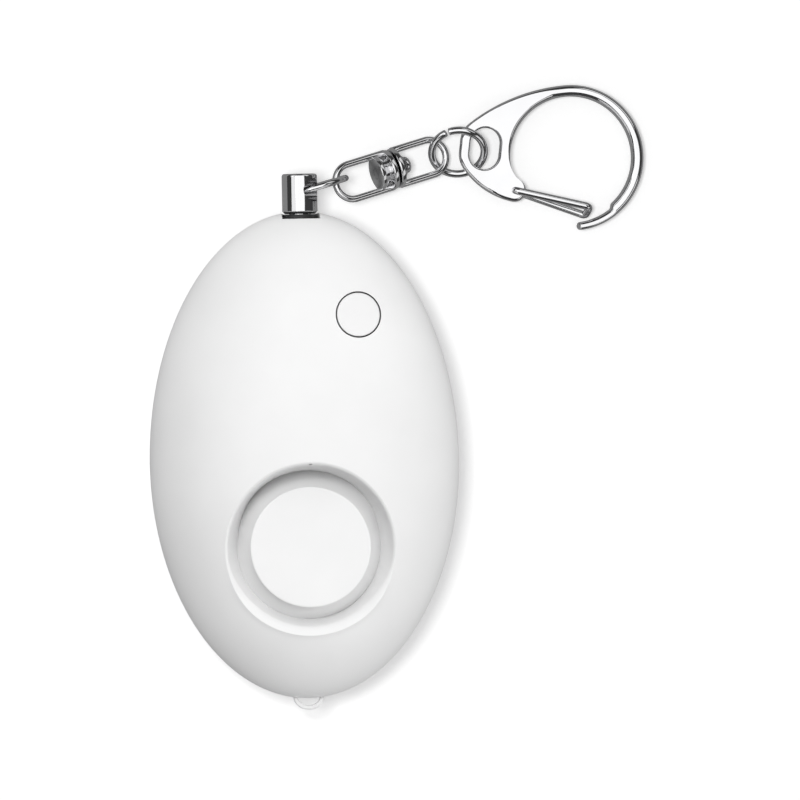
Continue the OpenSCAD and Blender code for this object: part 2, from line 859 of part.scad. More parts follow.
module strap_loop() {
    color("whitesmoke")
        translate([0, 0, parting_z - loop_t / 2])
            linear_extrude(loop_t)
                difference() {
                    union() {
                        for (x = [-1, 1])
                            translate([x * (loop_w / 2 - loop_round), loop_end + loop_round]) circle(r = loop_round);
                        translate([-loop_w / 2 + loop_round, loop_end]) square([loop_w - 2 * loop_round, loop_round]);
                        translate([-loop_w / 2, loop_end + loop_round])
                            square([loop_w, loop_bar_y + loop_bar_t - loop_end - loop_round]);
                        translate([-loop_bar_w / 2, loop_bar_y]) square([loop_bar_w, loop_bar_t]);
                    }
                    hole_x = loop_w / 2 - loop_round;
                    for (x = [-1, 1])
                        translate([x * hole_x, loop_end + loop_round]) circle(d = loop_hole);
                    translate([-hole_x, loop_end + loop_rim]) square([2 * hole_x, loop_hole]);
                }
}

// Pin: a round head with a cross hole, and a shaft with a rounded tip and a waist
module pull_pin() {
    head_r = head_d / 2;
    shaft_r = shaft_d / 2;
    tip_y = head_y - shaft_l;
    waist_y = tip_y + waist_from_tip;
    color("silver")
        difference() {
            on_pin_axis(0)
                rotate_extrude() {
                    polygon([
                        [0, head_y - join], [shaft_r, head_y - join], [shaft_r, head_y], [head_r - head_chamfer, head_y],
                        [head_r, head_y + head_chamfer], [head_r, head_end - head_round],
                        [head_r - head_round, head_end], [0, head_end]
                    ]);
                    translate([head_r - head_round, head_end - head_round])
                        intersection() {
                            circle(r = head_round, $fn = 48);
                            square(head_round);
                        }
                    polygon([
                        [0, tip_y], [shaft_r * 0.4, tip_y], [shaft_r, tip_y + shaft_r * 0.8],
                        [shaft_r, waist_y], [waist_r, waist_y + waist_in], [waist_r, waist_y + waist_in + waist_l],
                        [shaft_r, waist_y + 2 * waist_in + waist_l], [shaft_r, head_y], [0, head_y]
                    ]);
                }
            translate(hole_c) rotate([0, head_hole_turn, 0]) cylinder(d = head_hole_d, h = 2 * head_d, center = true);
        }
}

module pin_ring() {
    color("silver")
        in_chain_frame(pin_ring_c)
            rotate([90, 0, 0]) wire_ring(pin_ring_r, pin_ring_wire, pin_ring_gap, pin_ring_gap_at);
}

// A wire bow whose end bar is centred on x = 0, with two legs along +X
module bow(leg_end) {
    translate([bow_r, 0, 0]) {
        rotate([0, 0, 90]) rotate_extrude(angle = 180) translate([bow_r, 0]) circle(d = bow_wire, $fn = 48);
        for (side = [-1, 1])
            translate([0, side * bow_r, 0]) rotate([0, 90, 0]) cylinder(d = bow_wire, h = leg_end - bow_r, $fn = 48);
    }
}

// A drum along +X with rounded rims
module drum(length, hole_d) {
    r = drum_d / 2;
    rotate([0, 90, 0])
        difference() {
            rotate_extrude() {
                square([r - drum_round, length]);
                translate([0, drum_round]) square([r, length - 2 * drum_round]);
                for (z = [drum_round, length - drum_round])
                    translate([r - drum_round, z]) circle(r = drum_round, $fn = 48);
            }
            translate([0, 0, -1]) cylinder(d = hole_d, h = length + 2);
        }
}

module swivel_bow_a() {
    color("silver")
        in_chain_frame(swivel_start) {
            bow(drum_a_x + drum_a_l / 2);
            translate([drum_a_x, 0, 0]) drum(drum_a_l, rivet_d + touch);
        }
}

module swivel_rivet() {
    head_x = drum_b_x + drum_b_l + rivet_fit;
    head_r = rivet_head_d / 2;
    // Radius of the ball that domes the head
    dome_r = (pow(head_r, 2) + pow(rivet_head_h, 2)) / (2 * rivet_head_h);
    color("silver")
        in_chain_frame(swivel_start)
            rotate([0, 90, 0]) {
                translate([0, 0, drum_a_x]) cylinder(d = rivet_d, h = head_x - drum_a_x + join);
                translate([0, 0, head_x])
                    intersection() {
                        cylinder(r = head_r, h = rivet_head_h);
                        translate([0, 0, rivet_head_h - dome_r]) sphere(r = dome_r);
                    }
            }
}

module swivel_bow_b() {
    color("silver")
        in_chain_frame(swivel_start) {
            translate([swivel_l, 0, 0]) mirror([1, 0, 0]) bow(swivel_l - drum_b_x - drum_b_l / 2);
            translate([drum_b_x, 0, 0]) drum(drum_b_l, rivet_d + 2 * rivet_fit);
        }
}

module clip_ring() {
    color("silver")
        translate(clip_ring_c)
            rotate([clip_ring_tilt, 0, 0]) wire_ring(clip_ring_r, clip_ring_wire, clip_ring_gap, clip_ring_gap_at);
}

// Eye of the hook: a slot with round ends
module eye_slot(r) {
    shift = (eye_h - eye_w) / 2;
    for (y = [-shift, shift]) translate([-eye_back, y]) circle(r = r);
    translate([-eye_back - r, -shift]) square([2 * r, 2 * shift]);
}

// The plate between the eye and the band, inside the two tangents that meet the band and the pivot corner
module hook_plate_outline() {
    rim_r = eye_w / 2 + eye_rim;
    shift = (eye_h - eye_w) / 2;
    top_c = [-eye_back, shift];
    low_c = [-eye_back, -shift];
    top_at = tangent_at(top_c, rim_r, [0, 0], hook_outer_r, 1);
    low_at = tangent_at(low_c, rim_r, pivot_c, pivot_corner_r, -1);
    difference() {
        union() {
            eye_slot(rim_r);
            translate(pivot_c) circle(r = pivot_corner_r);
            polygon([
                top_c + polar(rim_r, top_at), polar(hook_outer_r, top_at), [0, 0], pivot_c,
                pivot_c + polar(pivot_corner_r, low_at), low_c + polar(rim_r, low_at), low_c, top_c
            ]);
        }
        circle(r = hook_inner_r + hook_band / 2);
        eye_slot(eye_w / 2);
    }
}

// Section of the hook's band, rounded at its edges
module band_section() {
    inner = hook_inner_r;
    half = hook_t / 2;
    translate([inner + hook_round, -half]) square([hook_band - 2 * hook_round, hook_t]);
    translate([inner, -half + hook_round]) square([hook_band, hook_t - 2 * hook_round]);
    for (r = [inner + hook_round, inner + hook_band - hook_round], z = [-half + hook_round, half - hook_round])
        translate([r, z]) circle(r = hook_round, $fn = 48);
}

module snap_hook() {
    color("silver")
        in_hook_frame()
            difference() {
                union() {
                    rotate([0, 0, nose_at]) rotate_extrude(angle = 360 + pivot_at - nose_at) band_section();
                    // The plate thins evenly from the band to the eye
                    intersection() {
                        translate([0, 0, -hook_t / 2]) linear_extrude(hook_t) hook_plate_outline();
                        rotate([90, 0, 0])
                            linear_extrude(far, center = true)
                                polygon([
                                    [-far, -eye_t / 2], [-eye_back, -eye_t / 2], [eye_slope_x, -hook_t / 2], [far, -hook_t / 2],
                                    [far, hook_t / 2], [eye_slope_x, hook_t / 2], [-eye_back, eye_t / 2], [-far, eye_t / 2]
                                ]);
                    }
                }
                // Nose relief for the gate's end bar
                rotate([0, 0, nose_at - 2])
                    rotate_extrude(angle = relief_at - nose_at + 2)
                        translate([hook_inner_r / 2, -hook_t]) square([relief_r - hook_inner_r / 2, 2 * hook_t]);
                // Flats beside the pivot for the gate's legs, and the pivot bore
                translate([pivot_c.x, pivot_c.y, 0]) {
                    for (side = [0, 1])
                        mirror([0, 0, side])
                            translate([0, 0, eye_t / 2]) cylinder(r = pivot_corner_r + 0.6, h = hook_t);
                    cylinder(d = gate_wire + 2 * fit, h = 2 * hook_t, center = true);
                }
            }
}

module hook_gate() {
    top_end = polar(gate_top_r, gate_top_at);
    low_end = polar(gate_low_r, gate_low_at);
    color("silver")
        in_hook_frame()
            wire_path([
                [pivot_c.x, pivot_c.y, touch], [pivot_c.x, pivot_c.y, leg_z], [top_end.x, top_end.y, gate_end_z],
                [low_end.x, low_end.y, -gate_end_z], [pivot_c.x, pivot_c.y, -leg_z], [pivot_c.x, pivot_c.y, -touch - gate_wire]
            ], gate_wire / 2);
}

front_shell();
rear_shell();
siren_cap();
piezo_plate();
piezo_ceramic();
piezo_retainer();
piezo_leads();
button();
switch_plunger();
tact_switch();
circuit_board();
driver_chip();
transistor();
boost_coil();
board_screw();
pin_socket();
pin_contacts();
button_cell_1();
button_cell_2();
button_cell_3();
positive_contact();
negative_contact();
case_screws();
strap_loop();
pull_pin();
pin_ring();
swivel_bow_a();
swivel_rivet();
swivel_bow_b();
clip_ring();
snap_hook();
hook_gate();
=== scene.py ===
"""Looks of a personal safety alarm.

A white egg-shaped siren case with a pull pin, a swivel chain and a snap hook.
"""

import json
import math

import bmesh
import bpy
import numpy as np
from mathutils import Matrix, Vector

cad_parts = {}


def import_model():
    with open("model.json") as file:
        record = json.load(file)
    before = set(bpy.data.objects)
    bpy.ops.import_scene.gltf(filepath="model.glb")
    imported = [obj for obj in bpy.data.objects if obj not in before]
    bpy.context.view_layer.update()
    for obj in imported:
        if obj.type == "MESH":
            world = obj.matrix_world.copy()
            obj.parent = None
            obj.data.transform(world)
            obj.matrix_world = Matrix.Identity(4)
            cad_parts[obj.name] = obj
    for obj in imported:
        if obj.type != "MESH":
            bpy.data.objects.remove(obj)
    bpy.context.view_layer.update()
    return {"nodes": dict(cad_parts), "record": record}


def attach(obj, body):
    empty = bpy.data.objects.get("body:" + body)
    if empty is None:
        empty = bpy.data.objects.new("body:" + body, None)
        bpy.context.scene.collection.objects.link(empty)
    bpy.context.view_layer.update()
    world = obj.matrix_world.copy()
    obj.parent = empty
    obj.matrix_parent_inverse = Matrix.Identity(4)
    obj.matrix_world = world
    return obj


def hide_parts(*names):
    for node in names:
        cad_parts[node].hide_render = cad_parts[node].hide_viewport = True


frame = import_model()
MM = 0.001

# Sizes and places in millimetres, which follow the solids
HALF_W, UPPER, LOWER = 17.5, 28.2, 26.8
FRONT_C, REAR_C, PARTING = 11.0, 11.0, 9.0
WALL = 1.6
SIREN_Y = -9.7
GROOVE_R, VALLEY_R, VALLEY_Z = 9.4, 8.1, 15.616
CAP_Z, CAP_UNDER_Z = 17.366, 16.166
BUTTON_X, BUTTON_Y, BUTTON_R, BUTTON_HOLE_R = 5.9, 16.4, 2.46, 2.62
BUTTON_FLANGE_Z, BUTTON_FLANGE_R, BUTTON_FLANGE_T = 12.06, 3.12, 1.2
HEAD_Y, HEAD_END, HEAD_R, HEAD_BEVEL = 27.9, 32.45, 2.0, 0.3
HOLE_C, HOLE_R, HOLE_TURN = (0.0, 30.6, 9.0), 1.3, 50.0
SHAFT_R, TIP_Y, WAIST_R = 1.25, 19.4, 1.05
SEAT_R, SHAFT_BORE_R, SHAFT_BORE_Y = 2.15, 1.4, 22
LOOP_END, LOOP_W, LOOP_T = -28.1, 3.5, 0.6
LOOP_BAR_Y, LOOP_BAR_T, LOOP_BAR_W = -25.1, 0.7, 5.4
CHAIN_YAW, CHAIN_PITCH = 16.0, 17.3
PIN_RING_C, PIN_RING_R, PIN_RING_WIRE = (1.9794, 30.9075, 6.4285), 3.55, 0.76
SWIVEL_START, SWIVEL_L, BOW_WIRE = (4.3993, 30.9772, 5.698), 13.8, 0.76
DRUM_A, DRUM_B = (5.025, 6.975), (7.225, 8.475)
RIVET_R, RIVET_HEAD_R, RIVET_HEAD = 0.6, 0.95, (8.625, 9.325)
CLIP_RING_C, CLIP_RING_R, CLIP_RING_WIRE = (18.4946, 34.6389, 2.1579), 2.98, 0.84
CLIP_RING_TILT = 34.5
PIN_RING_GAP, CLIP_RING_GAP = (11, 24), (10, 115)
HOOK_C, HOOK_TILT, HOOK_YAW = (31.311, 33.7595, 1.5693), 2.9134, -7.1
HOOK_INNER, HOOK_OUTER, HOOK_T, EYE_T = 6.95, 8.25, 2.2, 1.1
EYE_BACK, EYE_W, EYE_H, EYE_RIM = 9.88, 3.4, 4.7, 1.15
PIVOT_C, PIVOT_CORNER = (-5.9867, -4.3496), 1.3
NOSE_AT, RELIEF_AT, RELIEF_R, PIVOT_AT = 281.4, 313.5, 7.35, 216.0
GATE_WIRE, LEG_Z, GATE_END_Z = 0.85, 1.095, 0.675
GATE_TOP, GATE_LOW = (5.94, 297.0), (6.77, 291.0)
# Each screw's place along the case, the depth of its well, and the radius and top of its boss
SCREWS = ((16.2, 2.3, 2.4, 4.3), (-21.9, 5.2, 2.0, 9.0))
SCREW_HEAD_R, SCREW_HOLE_R, SCREW_HOLE_TOP = 1.8, 1.0, 12

# Fine forms that the scene draws in its own way, in millimetres and degrees
SEAM, EDGE = 0.02, 0.12
VALLEY_EXTRA, VALLEY_SHIFT = 1.5, 0.5
LIP_RING_R, LIP_H, LIP_SPREAD, LIP_REACH = 9.65, 0.16, 0.5, 1.2
LIP_ROUND, LIP_ROUND_LOWER, WALL_IN = 0.25, 0.2, 0.3
CAP_SEAT_Z, CAP_FLANGE_R, CAP_STEM, CAP_STEM_R = 16.8, 6.86, 1.3, 1.2
CAP_BORE_R, BORE_DEPTH = 6.75, 1.35
SPECK_IN, SPECK_Z, SPECK_R, SPECK_DEPTH = 0.08, 19.72, 0.17, 0.5
BUTTON_ROUND, BUTTON_HOLE_Z = 0.16, 10
SEAT_FLOOR, POCKET_BELOW, POCKET_ABOVE = 27.35, 0.5, 5
TIP_FLAT_R = 0.5
LOOP_REACH, LOOP_RIM = 1.5, 0.5
LOOP_GAP, NOTCH_Y = 0.05, -24.0
BOW_R, DRUM_R, DRUM_FLANGE = 2.0, 2.3, 0.62
BELL_R, BELL_WAIST_R, COLLAR_R = 1.95, 1.4, 1.25
UPPER_BULGE, LOWER_BULGE = 21.0, 9.0
EYE_TAPER, PIVOT_TAPER = 1.5, 4.2
GATE_BEND, GATE_START, GATE_STOP = 0.55, 0.05, -0.9

# Ends of cutters that reach past the case, and where the recess's upper and lower sides blend in
CLEAR, ABOVE, BELOW = 40, 24, -2
SIDE_BLEND = (0.1, 0.9)


# Small geometry helpers, all in millimetres


def half_length(y):
    return UPPER if y > 0 else LOWER


def egg_z(x, y):
    share = 1 - (x / HALF_W) ** 2 - (y / half_length(y)) ** 2
    return PARTING + FRONT_C * math.sqrt(max(share, 0.0))


def outline_reach(angle, z=PARTING):
    """Distance from the siren axis to the egg's outline at a height, along an angle in plan."""
    level = 1 - ((z - PARTING) / FRONT_C) ** 2
    c, s = math.cos(angle), math.sin(angle)
    best = 0.0
    for b, upper in ((UPPER, True), (LOWER, False)):
        qa = (c / HALF_W) ** 2 + (s / b) ** 2
        qb = 2 * SIREN_Y * s / b ** 2
        qc = (SIREN_Y / b) ** 2 - level
        reach = (-qb + math.sqrt(qb * qb - 4 * qa * qc)) / (2 * qa)
        if (SIREN_Y + reach * s > 0) == upper:
            best = reach
    return best


def arc(cx, cy, r, a0, a1, n):
    """Points on an arc, in degrees."""
    turns = np.radians(np.linspace(a0, a1, n))
    return [(cx + r * math.cos(a), cy + r * math.sin(a)) for a in turns]


def polar(r, degrees):
    a = math.radians(degrees)
    return r * math.cos(a), r * math.sin(a)


def bezier(start, middle, end, t):
    """A point of the curve that leaves start towards middle and reaches end."""
    return (1 - t) ** 2 * start + 2 * t * (1 - t) * middle + t * t * end


def blend(value, low, high):
    """A soft step from 0 at low to 1 at high."""
    t = min(max((value - low) / (high - low), 0.0), 1.0)
    return t * t * (3 - 2 * t)


def frame_matrix(at, pitch, yaw):
    turn = Matrix.Rotation(math.radians(yaw), 4, "Z") @ Matrix.Rotation(math.radians(pitch), 4, "Y")
    return Matrix.Translation(Vector(at)) @ turn


def grid(rows, wrap=False):
    """Faces between rings of points.

    A row of one point is a pole, and open ends are capped unless the rows wrap round.
    """
    verts, faces, rings = [], [], []
    for row in rows:
        rings.append((len(verts), len(row)))
        verts += row
    pairs = list(zip(rings, rings[1:])) + ([(rings[-1], rings[0])] if wrap else [])
    for (a, n), (b, m) in pairs:
        count = max(n, m)
        for j in range(count):
            k = (j + 1) % count
            if n == 1:
                faces.append((a, b + k, b + j))
            elif m == 1:
                faces.append((a + j, a + k, b))
            else:
                faces.append((a + j, a + k, b + k, b + j))
    if not wrap:
        faces += [tuple(range(a, a + n)) for a, n in (rings[0], rings[-1]) if n > 1]
    return verts, faces


def lathe(profile, count=128, wrap=False):
    """Turns a profile of (radius, height) about Z."""
    turns = [2 * math.pi * j / count for j in range(count)]
    rows = []
    for r, z in profile:
        rows.append([(r * math.cos(a), r * math.sin(a), z) for a in turns] if r else [(0, 0, z)])
    return grid(rows, wrap)


def rounded_profile(points, radii, steps=6):
    """A profile whose inner corners are rounded by the given radii."""
    out = []
    for i, p in enumerate(points):
        r = radii[i]
        if r <= 0 or i in (0, len(points) - 1):
            out.append(p)
            continue
        p, a, b = Vector(p), Vector(points[i - 1]), Vector(points[i + 1])
        u, w = (a - p).normalized(), (b - p).normalized()
        half = u.angle(w) / 2
        cut = min(r / math.tan(half), 0.49 * (a - p).length, 0.49 * (b - p).length)
        start, end = p + u * cut, p + w * cut
        for t in np.linspace(0, 1, steps):
            out.append(tuple(bezier(start, p, end, t)))
    return out


def fillet_path(points, radius, steps=9):
    """A polyline in space whose corners are rounded."""
    pts = [Vector(p) for p in points]
    out = [pts[0]]
    for i in range(1, len(pts) - 1):
        p, u, w = pts[i], (pts[i - 1] - pts[i]), (pts[i + 1] - pts[i])
        half = u.angle(w) / 2
        cut = min(radius / math.tan(half), 0.45 * u.length, 0.45 * w.length)
        start, end = p + u.normalized() * cut, p + w.normalized() * cut
        for t in np.linspace(0, 1, steps):
            out.append(bezier(start, p, end, t))
    out.append(pts[-1])
    return out


def sweep(path, radius, sides=28, end_round=0.25):
    """A round wire along a path, with softly rounded ends."""
    pts = [Vector(p) for p in path]
    tangents = []
    for i in range(len(pts)):
        a, b = pts[max(i - 1, 0)], pts[min(i + 1, len(pts) - 1)]
        tangents.append((b - a).normalized())
    side = tangents[0].orthogonal().normalized()
    rings = []
    for i, (p, t) in enumerate(zip(pts, tangents)):
        side = (side - t * side.dot(t)).normalized()
        up = t.cross(side)
        places = [(0.0, 1.0)]
        ends = [(math.cos(a) * end_round, 1 - end_round + end_round * math.sin(a)) for a in (0, 0.5, 1.0)]
        if i == 0:
            places = [(-shift, grow) for shift, grow in ends] + places
        if i == len(pts) - 1:
            places += reversed(ends)
        for shift, grow in places:
            ring = []
            for j in range(sides):
                a = 2 * math.pi * j / sides
                outward = side * math.cos(a) + up * math.sin(a)
                ring.append(p + t * (shift * radius) + outward * (radius * grow))
            rings.append(ring)
    return grid([[tuple(v) for v in ring] for ring in rings])


def moved(made, matrix):
    verts, faces = made
    return [tuple(matrix @ Vector(v)) for v in verts], faces


def together(*made):
    verts, faces = [], []
    for v, f in made:
        base = len(verts)
        verts += v
        faces += [tuple(i + base for i in face) for face in f]
    return verts, faces


def new_object(name, made):
    verts, faces = made
    mesh = bpy.data.meshes.new(name)
    mesh.from_pydata(verts, [], faces)
    fixed = bmesh.new()
    fixed.from_mesh(mesh)
    bmesh.ops.recalc_face_normals(fixed, faces=fixed.faces)
    fixed.to_mesh(mesh)
    fixed.free()
    piece = bpy.data.objects.new(name, mesh)
    bpy.context.scene.collection.objects.link(piece)
    return piece


def smooth(piece, angle=35):
    piece.data.shade_smooth()
    piece.data.set_sharp_from_angle(angle=math.radians(angle))


def combine(piece, tool, operation):
    modifier = piece.modifiers.new("cut", "BOOLEAN")
    modifier.operation = operation
    modifier.solver = "EXACT"
    modifier.use_self = True
    modifier.object = tool
    apply_modifiers(piece)
    bpy.data.objects.remove(tool)


def cut(piece, cutters, operation="DIFFERENCE"):
    """Cuts each closed shape out of a piece, or keeps what lies in it."""
    combine(piece, new_object("cutter", together(*cutters)), operation)


def apply_modifiers(piece):
    graph = bpy.context.evaluated_depsgraph_get()
    mesh = bpy.data.meshes.new_from_object(piece.evaluated_get(graph))
    piece.modifiers.clear()
    old = piece.data
    piece.data = mesh
    mesh.name = piece.name
    bpy.data.meshes.remove(old)


def finish_piece(piece, body, slot, material, *nodes):
    """Brings a piece from millimetres to the frame, and names its body, material and solids; the slot is
    not used.
    """
    piece.data.transform(Matrix.Scale(MM, 4))
    piece.data.materials.clear()
    piece.data.materials.append(material)
    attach(piece, body)
    if nodes:
        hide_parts(*nodes)


def cylinder(at, axis, r, start, end, count=96):
    """A closed cylinder along an axis, from start to end measured from a point."""
    made = lathe([(0, start), (r, start), (r, end), (0, end)], count)
    turn = Vector((0, 0, 1)).rotation_difference(Vector(axis)).to_matrix().to_4x4()
    return moved(made, Matrix.Translation(Vector(at)) @ turn)


def block(low, high):
    (x0, y0, z0), (x1, y1, z1) = low, high
    verts = [(x, y, z) for z in (z0, z1) for y in (y0, y1) for x in (x0, x1)]
    faces = [(0, 2, 3, 1), (4, 5, 7, 6), (0, 1, 5, 4), (2, 6, 7, 3), (0, 4, 6, 2), (1, 3, 7, 5)]
    return verts, faces


# Materials


class Nodes:
    """A short way to write a material's node tree."""

    def __init__(self, name):
        self.material = bpy.data.materials.new(name)
        self.material.use_nodes = True
        self.tree = self.material.node_tree
        self.shader = self.tree.nodes["Principled BSDF"]
        self.position = self.add("ShaderNodeTexCoord").outputs["Object"]

    def add(self, kind, **settings):
        made = self.tree.nodes.new(kind)
        for key, value in settings.items():
            if hasattr(made, key):
                setattr(made, key, value)
            else:
                made.inputs[key].default_value = value
        return made

    def link(self, a, b):
        self.tree.links.new(a, b)

    def noise(self, scale, detail=3.0, roughness=0.5, stretch=None):
        made = self.add("ShaderNodeTexNoise", Scale=scale, Detail=detail, Roughness=roughness)
        source = self.position
        if stretch:
            mapping = self.add("ShaderNodeMapping", Scale=stretch)
            self.link(source, mapping.inputs["Vector"])
            source = mapping.outputs["Vector"]
        self.link(source, made.inputs["Vector"])
        return made.outputs["Fac"]

    def ramp(self, value, stops):
        made = self.add("ShaderNodeValToRGB")
        elements = made.color_ramp.elements
        while len(elements) < len(stops):
            elements.new(0.5)
        for element, (place, colour) in zip(elements, stops):
            element.position = place
            element.color = (*colour, 1)
        self.link(value, made.inputs["Fac"])
        return made.outputs["Color"]

    def span(self, value, low, high, start=0.0, end=1.0):
        made = self.add("ShaderNodeMapRange")
        for key, number in (("From Min", start), ("From Max", end), ("To Min", low), ("To Max", high)):
            made.inputs[key].default_value = number
        self.link(value, made.inputs["Value"])
        return made.outputs["Result"]

    def bump(self, height, distance, strength):
        made = self.add("ShaderNodeBump", Distance=distance, Strength=strength)
        self.link(height, made.inputs["Height"])
        return made.outputs["Normal"]

    def choose(self, switch, off, on):
        made = self.add("ShaderNodeMixShader")
        self.link(switch, made.inputs["Fac"])
        self.link(off, made.inputs[1])
        self.link(on, made.inputs[2])
        return made.outputs["Shader"]

    def set(self, key, value):
        if isinstance(value, bpy.types.NodeSocket):
            self.link(value, self.shader.inputs[key])
        else:
            self.shader.inputs[key].default_value = value


def plastic(name, dark, light, rough=(0.38, 0.5), grain=0.0000025, scale=2600.0, ior=1.49):
    n = Nodes(name)
    cloud = n.noise(90.0, 4.0)
    n.set("Base Color", n.ramp(cloud, [(0.35, dark), (0.65, light)]))
    n.set("Roughness", n.span(n.noise(260.0, 5.0), rough[0], rough[1], 0.3, 0.7))
    n.set("IOR", ior)
    n.set("Normal", n.bump(n.noise(scale, 3.0), grain, 0.6))
    return n.material


def metal(name, dark, light, rough=(0.05, 0.12), scratch=0.0000012, stretch=(1.0, 0.06, 1.0)):
    n = Nodes(name)
    cloud = n.noise(160.0, 4.0)
    n.set("Base Color", n.ramp(cloud, [(0.3, dark), (0.7, light)]))
    n.set("Metallic", 1.0)
    fine = n.noise(5200.0, 4.0, 0.6, stretch)
    n.set("Roughness", n.span(n.noise(420.0, 5.0, 0.6), rough[0], rough[1], 0.3, 0.75))
    n.set("Normal", n.bump(fine, scratch, 0.5))
    return n.material


WHITE = plastic("white_plastic", (0.80, 0.80, 0.80), (0.83, 0.83, 0.83))
BUTTON_WHITE = plastic("button_plastic", (0.79, 0.79, 0.79), (0.82, 0.82, 0.82), rough=(0.26, 0.36))
CHROME = metal("chrome", (0.76, 0.76, 0.77), (0.81, 0.81, 0.82))
LOOKS = {
    "piezo_brass": metal("rolled_brass", (0.72, 0.52, 0.22), (0.82, 0.63, 0.3), (0.22, 0.34), 0.000004),
    "piezo_ceramic": plastic("silvered_ceramic", (0.74, 0.71, 0.62), (0.85, 0.82, 0.74), (0.45, 0.6)),
    "grey_plastic": plastic("grey_plastic", (0.16, 0.16, 0.17), (0.2, 0.2, 0.21), (0.45, 0.6), 0.000006),
    "wire_insulation": plastic(
        "wire_insulation", (0.4, 0.03, 0.03), (0.5, 0.05, 0.05), (0.35, 0.5), 0.000003),
    "black_plastic": plastic(
        "black_plastic", (0.012, 0.012, 0.013), (0.025, 0.025, 0.026), (0.4, 0.55), 0.000005),
    "board_laminate": plastic("solder_mask", (0.018, 0.1, 0.04), (0.03, 0.15, 0.06), (0.25, 0.4), 0.000003),
    "ferrite": plastic("ferrite", (0.03, 0.03, 0.032), (0.06, 0.06, 0.062), (0.5, 0.7), 0.000012),
    "steel": metal("nickel_steel", (0.55, 0.54, 0.52), (0.66, 0.65, 0.63), (0.18, 0.3), 0.000003),
    "contact_bronze": metal(
        "contact_bronze", (0.62, 0.36, 0.18), (0.74, 0.46, 0.26), (0.2, 0.32), 0.000003),
}


# Front shell, button and siren cap


def front_height(x, y, rho):
    """Height of the front: the egg, with a soft lip along the lower edge of the recess."""
    lower = blend((SIREN_Y - y) / max(rho, 1e-6), *SIDE_BLEND)
    return egg_z(x, y) + LIP_H * lower * math.exp(-((rho - LIP_RING_R) / LIP_SPREAD) ** 2)


def front_shell():
    """The egg's front half with the siren recess, walked out from the recess in columns of points."""
    count, out_rings, in_rings = 400, 120, 40
    bore_floor, under_dish, dish_r, dish_slope = CAP_UNDER_Z - BORE_DEPTH, 13.0, 10.6, 2.0
    shrink_x, shrink_z = (HALF_W - WALL) / HALF_W, FRONT_C - WALL
    columns = []
    for j in range(count):
        a = 2 * math.pi * j / count
        c, s = math.cos(a), math.sin(a)

        def at(rho, z):
            return (rho * c, SIREN_Y + rho * s, z)

        def top(rho):
            return front_height(rho * c, SIREN_Y + rho * s, rho)

        column = [at(CAP_BORE_R, bore_floor)]
        lower = blend(-s, *SIDE_BLEND)
        wall_r, lip = GROOVE_R - WALL_IN * lower, LIP_ROUND + LIP_ROUND_LOWER * lower
        valley_r = VALLEY_R + VALLEY_SHIFT * blend(s, *SIDE_BLEND)
        start = wall_r + 2 * lip - LIP_ROUND * (1 - lower)
        dish = rounded_profile(
            [(CAP_BORE_R, bore_floor), (CAP_BORE_R, CAP_SEAT_Z),
             (valley_r, VALLEY_Z - VALLEY_EXTRA), (wall_r, top(start) - 0.05)],
            [0, 0.05, 0, 0], 6)
        column += [at(r, z) for r, z in dish[1:-1]]
        (low_r, low_z), (high_r, high_z) = dish[-2:]
        foot_r, foot_z = high_r - lip * 0.5, high_z - lip
        for t in np.linspace(0, 1, 12)[1:-1]:
            column.append(at(low_r + (foot_r - low_r) * t, low_z + (foot_z - low_z) * t))
        for t in np.linspace(0, 1, 8):
            rho = bezier(foot_r, high_r, start, t)
            column.append(at(rho, bezier(foot_z, high_z + 0.03, top(start), t)))
        reach, low = outline_reach(a), outline_reach(a, PARTING + EDGE)
        lip_end = LIP_RING_R + LIP_REACH
        for t in np.linspace(0, 1, 16)[1:]:
            rho = start + (lip_end - start) * t
            column.append(at(rho, top(rho)))
        for t in np.linspace(0, 1, out_rings)[1:]:
            rho = lip_end + (low - lip_end) * (1 - (1 - t) ** 2)
            column.append(at(rho, top(rho)))
        column.append(at(reach - 0.6 * EDGE, PARTING + SEAM))
        for t in np.linspace(0, 1, in_rings)[:-1]:
            rho = reach * shrink_x * (1 - t ** 2)
            x, y = rho * c, SIREN_Y * shrink_x + rho * s
            share = 1 - (x / (HALF_W - WALL)) ** 2 - (y / (half_length(y) * shrink_x)) ** 2
            z = PARTING + shrink_z * math.sqrt(max(share, 0.0))
            near = math.hypot(x, y - SIREN_Y)
            ceiling = under_dish + max(0.0, near - dish_r) * dish_slope
            column.append((x, y, max(PARTING + SEAM, min(z, ceiling))))
        columns.append(column)
    first, last = (0, SIREN_Y, bore_floor), (0, SIREN_Y * shrink_x, under_dish)
    piece = new_object("front_case", grid([[first]] + [list(row) for row in zip(*columns)] + [[last]]))
    speck = (0, SIREN_Y + GROOVE_R - SPECK_IN, SPECK_Z)
    cut(piece, [
        cylinder((BUTTON_X, BUTTON_Y, 0), (0, 0, 1), BUTTON_HOLE_R, BUTTON_HOLE_Z, ABOVE, 128),
        *pin_cutters(),
        block((-SEAT_R, SEAT_FLOOR, PARTING - POCKET_BELOW), (SEAT_R, CLEAR, PARTING + POCKET_ABOVE)),
        loop_notch(0, PARTING + LOOP_T / 2 + LOOP_GAP),
        cylinder(speck, (0, -1, 1), SPECK_R, -SPECK_DEPTH, 2 * SPECK_DEPTH, 32),
    ])
    smooth(piece, 32)
    true_normals(piece, egg_normal)
    return piece


def pin_cutters():
    """The pocket of the pin's head and the bore of its shaft."""
    return [
        cylinder((0, 0, PARTING), (0, 1, 0), SEAT_R, SEAT_FLOOR, CLEAR, 128),
        cylinder((0, 0, PARTING), (0, 1, 0), SHAFT_BORE_R, SHAFT_BORE_Y, CLEAR, 96),
    ]


